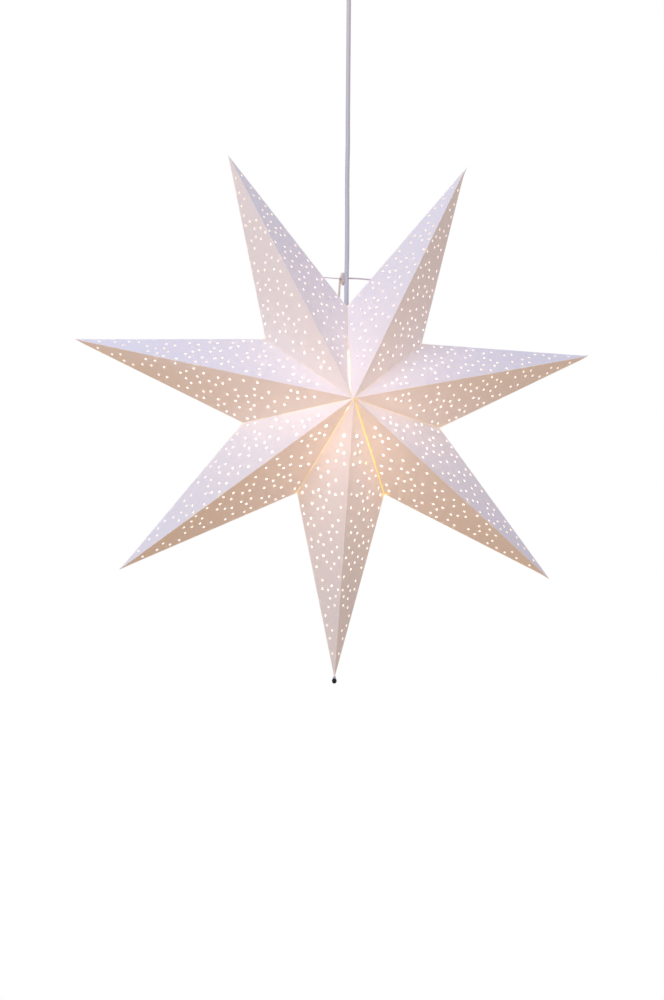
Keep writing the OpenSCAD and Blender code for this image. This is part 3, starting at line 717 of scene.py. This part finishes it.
def cord_notch(panel, edge, radius):
    """The valley's stations with room for the cord: a round bite where it passes."""
    outside = [s for s in edge if Vector((s.x, s.y)).length > radius + CUT_CLEAR]
    if len(outside) == len(edge):
        return [panel.flat(s) for s in edge], set()
    first = next(k for k, s in enumerate(edge) if s not in outside)
    way = (edge[-1] - edge[0]) / (edge[-1].y - edge[0].y)
    # Where the edge meets the bite's circle in plan, found in a few rounds
    ends = []
    for sign in (-1, 1):
        y = sign * radius
        for _ in range(8):
            x = edge[0].x + way.x * (y - edge[0].y)
            y = sign * math.sqrt(max(0, radius * radius - x * x))
        ends.append(math.atan2(y, x))
    sweep = (ends[1] - ends[0]) % math.tau
    if panel.valley.toward > 0:
        sweep -= math.tau
    count = 12
    turns = [ends[0] + (k / count) * sweep for k in range(count + 1)]
    arc = [panel.passes(radius * math.cos(t), radius * math.sin(t)) for t in turns]
    before = [s for s in outside if s.y < -radius or edge.index(s) < first]
    after = [s for s in outside if s not in before]
    line = [panel.flat(s) for s in before + arc + after]
    return line, set(range(len(before), len(before) + len(arc)))


# Least distance in millimetres of a panel's inner points from a hole's rim, from a crease past
# the row beside it, and from the cord's bite, and the least width of a face
HOLE_CLEAR = 1.3
CREASE_CLEAR = 3
BITE_CLEAR = 2
FACE_WIDTH = 0.01
# Height of a row of even triangles, as a share of their side
ROW = 0.87


def even_points(panel, step, fold):
    """A row of points beside each crease, which keeps the fold crisp, and an even net between."""
    tip = Vector((panel.ridge, 0))
    corner = Vector((panel.foot, panel.reach))
    start = Vector((0, 0))
    inside = []
    for a, b, spacing in ((start, tip, step), (tip, corner, step), (corner, start, VALLEY_STEP)):
        way = (b - a).normalized()
        inward = Vector((-way.y, way.x))
        inside += [p + inward * fold for p in stations(a, b, spacing)[1:]]
    for row in range(1, math.ceil(panel.reach / (step * ROW))):
        y = row * step * ROW
        for column in range(math.ceil(panel.ridge / step)):
            inside.append(Vector(((column + row % 2 / 2) * step, y)))
    slope_in = Vector((panel.reach, -panel.foot)).normalized()
    slope_out = Vector((-panel.reach, panel.foot - panel.ridge)).normalized()
    for p in inside:
        margin = min(p.y, p.dot(slope_in), (p - tip).dot(slope_out))
        if fold * 0.9 <= margin <= fold * 1.1 or margin >= CREASE_CLEAR:
            yield p


def card_faces(net, faces, sources, group):
    """The faces of the card, without those inside a hole or the cord's bite."""
    kept = []
    for face in faces:
        groups = [{group.get(i) for i in sources[k]} for k in face]
        shared = set.intersection(*groups) - {None}
        # A face whose three points lie along one crease has no width
        a, b, c = (net[k] for k in face)
        width = abs((b - a).cross(c - a)) / max((b - a).length, (c - b).length, (a - c).length)
        if width > FACE_WIDTH and not shared:
            kept.append(tuple(face))
    return kept


def panel_mesh(panel, settings):
    """Points in space and faces of a punched panel, and the points on its creases and on its
    pressed valley edge."""
    step = settings.mesh_step / MM
    radius = settings.hole_width / 2 / MM
    tip = Vector((panel.ridge, 0))
    edge = stations(panel.valley.corner, panel.point, VALLEY_STEP)
    at_cord = panel.point is panel.arm.back and panel.valley.number == 0
    bite = set()
    if at_cord:
        line, bite = cord_notch(panel, edge, CORD_ROOM)
    else:
        line = [panel.flat(s) for s in edge]
    outline = stations(Vector((0, 0)), tip, step)
    outline += stations(tip, Vector((panel.foot, panel.reach)), step)
    bite = {k + len(outline) for k in bite}
    creased = set(range(len(outline) + 1))
    # The valley's edge, which gets the painted light leak
    pressed = set(range(len(outline), len(outline) + len(line)))
    points = outline + line
    links = [(k, (k + 1) % len(points)) for k in range(len(points))]
    # The rim of each hole, and the cord's bite, is a group of points
    group = {k: -1 for k in bite}

    # The tie string passes through a hole of its own beside the seam
    taken = []
    if at_cord:
        _, back, level = string_line()
        share = (back - panel.point.y) * panel.up.y + (level - panel.point.z) * panel.up.z
        taken.append(panel.flat(Vector((panel.point.x - share / panel.up.x, back, level))))
    holes = hole_places(panel.ridge, panel.foot, panel.reach, settings, taken)
    sides = settings.hole_sides
    for number, hole in enumerate(holes):
        first = len(points)
        for k in range(sides):
            turn = math.tau * (k + 0.5) / sides
            group[len(points)] = number
            points.append(hole + radius * Vector((math.cos(turn), math.sin(turn))))
            links.append((first + k, first + (k + 1) % sides))

    for p in even_points(panel, step, settings.fold_width / MM):
        in_hole = any((p - hole).length < radius + HOLE_CLEAR for hole in holes)
        if not in_hole and all((p - points[k]).length >= BITE_CLEAR for k in bite):
            points.append(p)

    net, _, faces, origin, _, _ = delaunay_2d_cdt(points, links, [], 0, 1e-5, True)
    sources = [set(ids) for ids in origin]
    bow = settings.bow / MM
    places = [panel.in_space(p, bow) for p in net]
    folded = {k for k, ids in enumerate(sources) if ids & creased}
    lit = {k for k, ids in enumerate(sources) if ids & pressed}
    return places, card_faces(net, faces, sources, group), folded, lit


# How much of the way to the middle plane a glue tab may take, how far from the star's point it
# has its full width, and how far from the middle plane the tabs beside the cord end
TAB_REACH = 0.88
TAB_TAPER = 26
TAB_CLEAR = 7.1


def tab_strip(valley, point, settings):
    """Points and faces of the glue tab between a valley's corner and a point of the star. Each
    point comes with whether it lies on the tab's free edge."""
    arm = valley.arm
    edge = stations(valley.corner, point, VALLEY_STEP) + [point]
    along = (valley.corner - point).normalized()
    inward = -valley.radial
    side = (inward - along * inward.dot(along)).normalized()
    width = settings.tab_width / MM * VALLEYS[valley.number][2]
    clear = TAB_CLEAR if valley.number == 0 and point is arm.back else 0
    points = []
    faces = []
    for place in edge:
        start = (place - point).length / TAB_TAPER
        rise = abs(place.y - arm.centre.y)
        size = min(width * min(1, start), TAB_REACH * max(0, rise - clear) / abs(side.y))
        if valley.number == 0 and point is arm.front:
            size *= profile(rise / arm.half_depth, *SEAM_TABS)
        points.append((place, False))
        points.append((place + side * size, True))
    for k in range(len(edge) - 1):
        if Vector((edge[k].x, edge[k].y)).length > CORD_ROOM + CUT_CLEAR:
            faces.append((2 * k, 2 * k + 2, 2 * k + 3, 2 * k + 1))
    return points, faces


def fold_arm(arm, settings, outer, inner):
    """One arm: four punched panels, its glue tabs, and the thickness of the card."""
    left = Valley(arm, arm.left, -1)
    right = Valley(arm, arm.right, 1)
    points = []
    faces = []
    creased = []
    shining = []
    for valley in (left, right):
        # How strong the painted light leak along this valley's edge is
        glow = VALLEYS[valley.number][3]
        for point in (arm.front, arm.back):
            panel = Panel(arm, point, valley.corner, valley)
            places, skin, folded, lit = panel_mesh(panel, settings)
            creased += [float(k in folded) for k in range(len(places))]
            shining += [glow * (k in lit) for k in range(len(places))]
            join(points, faces, [p + left.shift(p) + right.shift(p) for p in places], skin)
            strip, walls = tab_strip(valley, point, settings)
            creased += [0.0] * len(strip)
            shining += [glow] * len(strip)
            join(points, faces, [p + valley.shift(p, inside) for p, inside in strip], walls)
    points = [pinched(arm, p) for p in points]
    piece = in_millimetres(ARMS[arm.index] + "_paper", points, faces)
    # fold marks the whiter creases, and pressed the valley's edge that gets the painted light leak
    for name, values in (("fold", creased), ("pressed", shining)):
        piece.data.attributes.new(name, "FLOAT", "POINT").data.foreach_set("value", values)
    tidy(piece)
    face_outwards(piece, arm)
    piece.data.materials.append(outer)
    piece.data.materials.append(inner)
    card = piece.modifiers.new("thickness", "SOLIDIFY")
    card.thickness = settings.thickness
    card.offset = -1
    card.material_offset = 1
    # The rims of the holes and the edges get the lamp side's material, and so its painted glow
    card.material_offset_rim = 1
    return tidy(with_modifiers(piece), weld=0.001)


def pinched(arm, point):
    """The last millimetres of an arm are pressed flat, and a little bent."""
    left_over = (arm.tip - point).length / TIP_LENGTH
    if left_over >= 1:
        return point
    press = (1 - left_over) ** 2
    line = arm.centre.lerp(arm.tip, (point - arm.centre).dot(arm.tip - arm.centre)
                           / (arm.tip - arm.centre).length_squared)
    flat = point.copy()
    flat.y += (line.y - point.y) * TIP_PRESS * press
    return flat + Vector(TIP_BENDS[arm.index]) * press


def face_outwards(piece, arm):
    """Turns the sheet's normals away from the inside of the arm."""
    middle = (arm.centre + (arm.tip - arm.centre) * 0.3) * MM
    biggest = max(piece.data.polygons, key=lambda f: f.area)
    if biggest.normal.dot(biggest.center - middle) < 0:
        piece.data.flip_normals()


# The knot's outline from the string's level down, as height and radius, in millimetres
KNOT = ((7, 0.8), (6.2, 2), (4, 3), (-1, 3), (-4.6, 2.5), (-6.8, 1.6), (-7.8, 0.7))
# Where the knotted end hangs, as height and distance from the knot's left side
TAIL = ((2, 1), (0.6, 0), (-4, -0.5), (-10, -0.9), (-16, -1.1), (-22, -1.4))
# How far left of the cord and behind the string's line the knot stands, and how far before its
# middle its end hangs
KNOT_LEFT = 0.8
KNOT_BACK = 2.4
TAIL_FRONT = 1
KNOT_STEPS = 24
# The knot's winding: turns, points on a turn, the strand's radius, and the core left bare above
# and below
WINDS = 7
WIND_POINTS = 14
WIND_STRAND = 1.05
WIND_END = 0.6
# The small coil that stops the string inside an arm: points, angle between them in radians,
# radius, advance, and where it starts left of its place
COIL_POINTS = 12
COIL_TURN = 0.8
COIL_RADIUS = 0.95
COIL_ADVANCE = 0.12
COIL_START = 1.2
# The string's slack, and how quickly it comes and goes, in degrees per millimetre
SLACK = 0.4
SLACK_TURN = 9
# Distance between points along a string, and the length of one twist of the string and its end
STRING_STEP = 0.8
STRING_TWIST = 3.4
TAIL_TWIST = 4.6


def string_line():
    """The tie string's reach to each side, its place behind the cord's axis, and its level."""
    points = node_points("tie_string")
    reach = max(p.x for p in points)
    end = [p for p in points if p.x > reach - 0.5]
    middle = sum(end, Vector()) / len(end)
    return reach, middle.y, middle.z


def knot_radius(height):
    for (top, wide), (low, narrow) in zip(KNOT, KNOT[1:]):
        if height >= low:
            return wide + (narrow - wide) * min(1, max(0, (top - height) / (top - low)))
    return KNOT[-1][1]


def knot_barrel(at, level):
    """The knot: a core, and a strand that winds down it."""
    high = KNOT[0][0]
    low = KNOT[-1][0]
    core = [at + Vector((0, 0, high - (high - low) * k / KNOT_STEPS))
            for k in range(KNOT_STEPS + 1)]
    wound = []
    for k in range(WINDS * WIND_POINTS + 1):
        height = high - WIND_END - (high - low - 2 * WIND_END) * k / (WINDS * WIND_POINTS)
        turn = math.tau * k / WIND_POINTS
        size = max(0.1, knot_radius(height) - WIND_STRAND)
        wound.append(at + Vector((size * math.cos(turn), size * math.sin(turn), height)))

    def core_radius(k):
        return max(0.3, knot_radius(core[k].z - level) - WIND_STRAND * 1.3)

    return tube(core, core_radius, 16), tube(wound, WIND_STRAND, 10)


def stopper(k):
    """A point of the small coil that stops the string, measured from the coil's place."""
    turn = k * COIL_TURN
    return Vector((COIL_ADVANCE * k - COIL_START, COIL_RADIUS * math.cos(turn),
                   COIL_RADIUS * math.sin(turn)))


class STAR_OT_string(bpy.types.Operator):
    """Lay the tie string behind the cord, knot it and let its end hang"""
    bl_idname = "star.string"
    bl_label = "Tie string"

    def execute(self, context):
        settings = context.scene.star_hanging
        reach, back, level = string_line()
        radius = settings.string_width / 2 / MM

        def run(x):
            """A point of the nearly taut string."""
            slack = SLACK * math.sin(math.radians(x * SLACK_TURN))
            return Vector((x, back + 0.6 * slack, level + slack))

        # The string is single up to the cord and doubled right of it, with 2 mm of overlap, and
        # a coil stops each end inside an arm
        reach = round(reach)
        right = range(1, reach + 1)
        points = []
        faces = []
        lays = ((range(-reach, 4), 0, 1), (right, 0.55, 0.9), (right, -0.55, 0.9))
        for steps, beside, share in lays:
            line = [run(x) + Vector((0, 0, beside * radius)) for x in steps]
            line = curve_through(line, STRING_STEP)
            join(points, faces, *twisted(line, radius * share, STRING_TWIST))
        for x in (2 - reach, reach - 1):
            line = [run(x) + stopper(k) for k in range(COIL_POINTS)]
            join(points, faces, *tube(line, radius * 1.3, 10))
        # The knot stands behind the cord, and its end hangs from its left side
        first_tail = len(faces)
        at = Vector((-settings.cord_width / 2 / MM - KNOT_LEFT, back + KNOT_BACK, level))
        for barrel in knot_barrel(at, level):
            join(points, faces, *barrel)
        side = at.x - max(r for _, r in KNOT)
        line = [Vector((side + out, at.y - TAIL_FRONT, level + height)) for height, out in TAIL]
        line = curve_through(line, STRING_STEP)
        join(points, faces, *twisted(line, settings.tail_width / 2 / MM, TAIL_TWIST))
        piece = tidy(in_millimetres("cotton_string", points, faces), weld=0.0005)
        dress(piece, twisted_cotton("twisted grey cotton", settings.string), "shade",
              "tie_string")
        # The knot and its end get the string's cotton, painted paler and warmer: painted warm
        # lamplight
        piece.data.materials.append(twisted_cotton("twisted cotton, painted lamplight", settings.tail))
        for face in piece.data.polygons:
            face.material_index = int(face.index >= first_tail)
        return {"FINISHED"}


# The bead's eight-sided rows: how far along it they lie, and their share of its width
BEAD_SIDES = 8
BEAD_ROWS = ((0, 0.58), (0.12, 0.86), (0.36, 1), (0.64, 1), (0.87, 0.76), (1, 0.38))


class STAR_OT_bead(bpy.types.Operator):
    """Cut the dark bead and turn its collar"""
    bl_idname = "star.bead"
    bl_label = "Bead and collar"

    def execute(self, context):
        settings = context.scene.star_hanging
        arm = FoldedArm(ARMS.index("arm_bottom"))
        ways = [p - arm.tip for p in node_points("tip_bead")]
        drops = [way.dot(arm.out) for way in ways]
        gap = min(drops)
        height = max(drops)
        width = 2 * max((way - arm.out * drop).length for way, drop in zip(ways, drops))
        skin = []
        for row, (along, size) in enumerate(BEAD_ROWS):
            for k in range(BEAD_SIDES):
                turn = math.tau * (k + row % 2 / 2) / BEAD_SIDES
                skin.append(arm.tip + arm.out * (gap + (height - gap) * along)
                            + around(arm.side, Vector((0, 1, 0)), turn) * width / 2 * size)
        faces = [range(BEAD_SIDES), range(len(skin) - BEAD_SIDES, len(skin))[::-1]]
        for row in range(len(BEAD_ROWS) - 1):
            for k in range(BEAD_SIDES):
                a = row * BEAD_SIDES + k
                b = row * BEAD_SIDES + (k + 1) % BEAD_SIDES
                c, d = a + BEAD_SIDES, b + BEAD_SIDES
                faces += [(a, c, b), (b, c, d)] if row % 2 == 0 else [(a, d, b), (a, c, d)]
        bead = in_millimetres("cut_bead", skin, faces)
        tidy(bead, sharp=12)
        edges = bead.modifiers.new("ground edges", "BEVEL")
        edges.width = 0.12 * MM
        edges.segments = 2
        edges.limit_method = "ANGLE"
        edges.angle_limit = math.radians(12)
        tidy(with_modifiers(bead), weld=0.001, sharp=10)
        # Ground facets under dark plating: near black, with small bright glints
        plated = surface_material("dark plated brass, cut facets", settings.bead, 0.25, 3, 0.01,
                                  0.16, Metallic=1)
        dress(bead, plated, "shade", "tip_bead")
        # The collar is a thimble pushed over the paper's tip, with the bead's thread through it
        spin = arm.out.to_track_quat("Z", "Y").to_matrix()
        outline = ((0, 0.1), (0.1, 0.1), (0.57, -1.8), (1.4, -1.8), (1.8, -1.4), (1.8, 0),
                   (1.4, gap), (0, gap))
        collar = lathe("turned_collar", outline, 0, 40)
        collar.data.transform(Matrix.Translation(arm.tip * MM) @ spin.to_4x4())
        # Turned, not polished: pale grey with a soft sheen
        turned = surface_material("turned nickel silver", linear("#b5b3b5"), 0.15, 2, 0.01, 0.3,
                                  Metallic=1)
        dress(collar, turned, "shade", "bead_collar")
        return {"FINISHED"}


class STAR_OT_finishes(bpy.types.Operator):
    """Give the lampholder, the wire and the ceiling fitting their finishes"""
    bl_idname = "star.finishes"
    bl_label = "Finishes of the fitting"

    def execute(self, context):
        plastic = context.scene.star_lamp.plastic
        metal = {"Metallic": 1}
        # Name, colour, how far it varies, grain and relief in millimetres, roughness, and nodes
        finishes = (
            # Satin, as it leaves the mould
            ("injection moulded urea plastic", plastic, 0.03, 0.5, 0.02, 0.4, {"IOR": 1.52},
             "cord_grip holder_cap holder_skirt"),
            # Dry, fine-grained ceramic
            ("unglazed steatite", linear("#f2efe8"), 0.05, 0.4, 0.05, 0.7, {"IOR": 1.6},
             "holder_core"),
            # Rolled and stamped: a soft golden gleam
            ("stamped brass strip", linear("#d3ad5e"), 0.12, 0.6, 0.01, 0.32, metal,
             "screw_sleeve centre_contact side_contact"),
            # Cool, slightly uneven plating
            ("bright zinc plate on steel", linear("#c6c9cd"), 0.14, 0.7, 0.015, 0.34, metal,
             "terminal_screws ceiling_hook hanger_ring hanger_screw block_screws"),
            # Grey, with fine marks of the drawing die
            ("drawn spring steel wire", linear("#b9babd"), 0.12, 0.3, 0.01, 0.36, metal,
             "star_bracket"),
            # Even and slightly glossy
            ("moulded white PBT", linear("#f5f3ee"), 0.03, 0.6, 0.02, 0.45, {"IOR": 1.55},
             "bulb_collar"),
            # Matt and yellow, as unlit phosphor is
            ("phosphor coated strip", linear("#f3d98b"), 0.1, 0.4, 0.03, 0.8, {},
             "filament_carrier"),
            # Smooth and nearly mirror-like
            ("nickel plated brass shell", linear("#cfcfd0"), 0.1, 0.5, 0.01, 0.28, metal,
             "bulb_screw_shell bulb_contact"),
            # Deep black with a wet gloss
            ("black glass insulator", linear("#15151a"), 0.2, 0.8, 0.01, 0.18, {"IOR": 1.52},
             "bulb_insulator"),
            # Slightly milky satin
            ("moulded white polyamide", linear("#ecebe8"), 0.04, 0.6, 0.03, 0.5, {"IOR": 1.53},
             "cord_hanger terminal_block"),
            # Smooth and glossy, with a faint ripple
            ("gloss moulded polypropylene cup", linear("#f2f2f1"), 0.03, 0.8, 0.015, 0.3,
             {"IOR": 1.49}, "ceiling_cup"),
            # Dull and dark
            ("moulded EPDM rubber grommet", linear("#38383b"), 0.15, 0.5, 0.03, 0.75, {"IOR": 1.5},
             "cup_grip"),
        )
        for name, colour, spread, grain, relief, roughness, shader, nodes in finishes:
            material = surface_material(name, colour, spread, grain, relief, roughness, **shader)
            for node in nodes.split():
                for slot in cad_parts[node].material_slots:
                    slot.material = material
        return {"FINISHED"}


def showing(tree):
    """1 on rays that show the background, straight on, in metal or through glass, and else 0."""
    rays = add(tree, "LightPath").outputs
    through = add(tree, "Math", {"operation": "SUBTRACT"},
                  {0: rays["Is Transmission Ray"], 1: rays["Is Diffuse Ray"]})
    seen = add(tree, "Math", {"operation": "MAXIMUM"},
               {0: rays["Is Camera Ray"], 1: rays["Is Glossy Ray"]})
    either = add(tree, "Math", {"operation": "MAXIMUM"},
                 {0: seen.outputs[0], 1: through.outputs[0]})
    return either.outputs[0]


# The floor's radius in millimetres. From FLOOR_FADE to FLOOR_WHITE metres from its middle, the
# share of white that the camera sees rises from FLOOR_SHARE to 1
FLOOR_REACH = 950
FLOOR_SIDES = 96
FLOOR_FADE = 0.3
FLOOR_WHITE = 0.93
FLOOR_SHARE = 0.6
# Soft studio lamps: name, place and diameter in metres, power in watts and colour
LAMPS = (("key_light", (-1.5, -1.6, 1.1), 1.6, 40.8, "#e6ecff"),
         ("fill_light", (1.7, -1.4, 0.2), 1.6, 7.8, "#dbe1ff"))
LAMPS_AIM = Vector((0, 0, -0.54))
# How steep a ray is, as the sine of its angle, where the light from above or below is full
STEEP = 0.8


def floor_paint(colour):
    """Matt paint, which fades into the white background."""
    material, tree, place = new_material("pale floor")
    flat = add(tree, "VectorMath", {"operation": "MULTIPLY", 1: (1, 1, 0)}, {0: place})
    away = add(tree, "VectorMath", {"operation": "LENGTH"}, {0: flat.outputs[0]})
    far = add(tree, "MapRange", {"From Min": FLOOR_FADE, "From Max": FLOOR_WHITE,
                                 "To Min": FLOOR_SHARE, "interpolation_type": "SMOOTHSTEP"},
              {"Value": away.outputs["Value"]})
    share = add(tree, "Math", {"operation": "MULTIPLY"},
                {0: showing(tree), 1: far.outputs["Result"]})
    paint = add(tree, "BsdfDiffuse", {"Color": (*colour, 1), "Roughness": 0.6})
    white = add(tree, "Emission", {"Color": (1, 1, 1, 1), "Strength": 1})
    both = add(tree, "MixShader", (),
               {0: share.outputs[0], 1: paint.outputs[0], 2: white.outputs[0]})
    return finished(material, both.outputs[0])


def studio_world(stage):
    """Soft light whose colour changes with height, behind a white background."""
    world = bpy.data.worlds.new("studio")
    world.use_nodes = True
    tree = world.node_tree
    tree.nodes.clear()
    place = add(tree, "TexCoord").outputs["Generated"]
    height = add(tree, "SeparateXYZ", (), {0: place}).outputs["Z"]
    lift = add(tree, "MapRange", {"From Max": STEEP}, {"Value": height})
    drop = add(tree, "MapRange", {"From Max": -STEEP}, {"Value": height})
    upper = shaded(tree, stage.level, stage.above, lift.outputs["Result"])
    shade = shaded(tree, upper, stage.below, drop.outputs["Result"])
    soft = add(tree, "Background", {"Strength": 1}, {"Color": shade})
    plain = add(tree, "Background", {"Color": (1, 1, 1, 1), "Strength": 1})
    both = add(tree, "MixShader", (),
               {0: showing(tree), 1: soft.outputs[0], 2: plain.outputs[0]})
    add(tree, "OutputWorld", (), {"Surface": both.outputs[0]})
    return world


class STAR_OT_stage(bpy.types.Operator):
    """Lay the pale floor and set the studio light"""
    bl_idname = "star.stage"
    bl_label = "Stage"

    def execute(self, context):
        stage = context.scene.star_stage
        low = -stage.room_height / MM
        turns = [math.tau * k / FLOOR_SIDES for k in range(FLOOR_SIDES)]
        rim = [Vector((FLOOR_REACH * math.cos(t), FLOOR_REACH * math.sin(t), low)) for t in turns]
        floor = in_millimetres("floor", rim, [range(FLOOR_SIDES)])
        floor.data.materials.append(floor_paint(stage.floor))
        for name, spot, size, power, tint in LAMPS:
            lamp = bpy.data.lights.new(name, "AREA")
            lamp.shape = "DISK"
            lamp.size = size
            lamp.energy = power
            lamp.color = linear(tint)
            holder = bpy.data.objects.new(name, lamp)
            holder.location = spot
            aim = LAMPS_AIM - holder.location
            holder.rotation_euler = aim.to_track_quat("-Z", "Y").to_euler()
            context.scene.collection.objects.link(holder)
        context.scene.world = studio_world(stage)
        context.scene.view_settings.view_transform = "Standard"
        return {"FINISHED"}


class STAR_OT_bulb(bpy.types.Operator):
    """Blow the lit opal globe"""
    bl_idname = "star.bulb"
    bl_label = "Bulb"

    def execute(self, context):
        lamp = context.scene.star_lamp
        low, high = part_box("bulb_globe")
        radius = (high.x - low.x) / 2 / MM
        wall = lamp.globe_wall / MM
        middle = low.z / MM + radius
        top = high.z / MM - middle
        rise = math.asin(top / radius)
        steps = 28
        turns = [(rise + math.pi / 2) * k / steps - math.pi / 2 for k in range(1, steps + 1)]

        def arc(size):
            """The globe's profile from its lowest point up, as radius and height."""
            return [(0, -size)] + [(size * math.cos(t), size * math.sin(t)) for t in turns]

        globe = lathe("opal_globe", arc(radius) + arc(radius - wall)[::-1], middle, 64)
        # Opal glass scatters the light, so the lit globe is evenly bright, with a soft gloss
        opal = (*linear("#fff6ea"), 1)
        material, tree, _ = new_material("lit opal glass")
        skin = add(tree, "BsdfPrincipled", {
            "Base Color": opal, "Roughness": 0.35, "IOR": 1.5,
            "Emission Color": (*lamp.light, 1), "Emission Strength": lamp.power})
        dress(globe, finished(material, skin.outputs[0]), "bulb", "bulb_globe")
        # The inner side sends out no light of its own, and is duller
        material, tree, _ = new_material("opal glass inside")
        inside = add(tree, "BsdfPrincipled", {"Base Color": opal, "Roughness": 0.5})
        globe.data.materials.append(finished(material, inside.outputs[0]))
        for face in globe.data.polygons:
            centre = face.center - Vector((0, 0, middle * MM))
            if centre.length < (radius - wall / 2) * MM:
                face.material_index = 1
        return {"FINISHED"}


SETTINGS = {"star_paper": PaperSettings, "star_hanging": HangingSettings,
            "star_lamp": LampSettings, "star_stage": StageSettings}
OPERATORS = (STAR_OT_camera, STAR_OT_cord, STAR_OT_arms, STAR_OT_string, STAR_OT_bead, STAR_OT_bulb,
             STAR_OT_finishes, STAR_OT_stage)


class STAR_PT_panel(bpy.types.Panel):
    """The star light's steps, in their order"""
    bl_idname = "STAR_PT_panel"
    bl_label = "Star light"
    bl_space_type = "VIEW_3D"
    bl_region_type = "UI"
    bl_category = "Star light"

    def draw(self, context):
        for operator in OPERATORS:
            self.layout.operator(operator.bl_idname)


def register():
    for kind in (*SETTINGS.values(), *OPERATORS, STAR_PT_panel):
        bpy.utils.register_class(kind)
    for name, kind in SETTINGS.items():
        setattr(bpy.types.Scene, name, bpy.props.PointerProperty(type=kind))


def unregister():
    for name in SETTINGS:
        delattr(bpy.types.Scene, name)
    for kind in (STAR_PT_panel, *reversed(OPERATORS), *reversed(SETTINGS.values())):
        bpy.utils.unregister_class(kind)


def main():
    register()
    for operator in OPERATORS:
        group, name = operator.bl_idname.split(".")
        getattr(getattr(bpy.ops, group), name)()


if __name__ == "__main__":
    main()
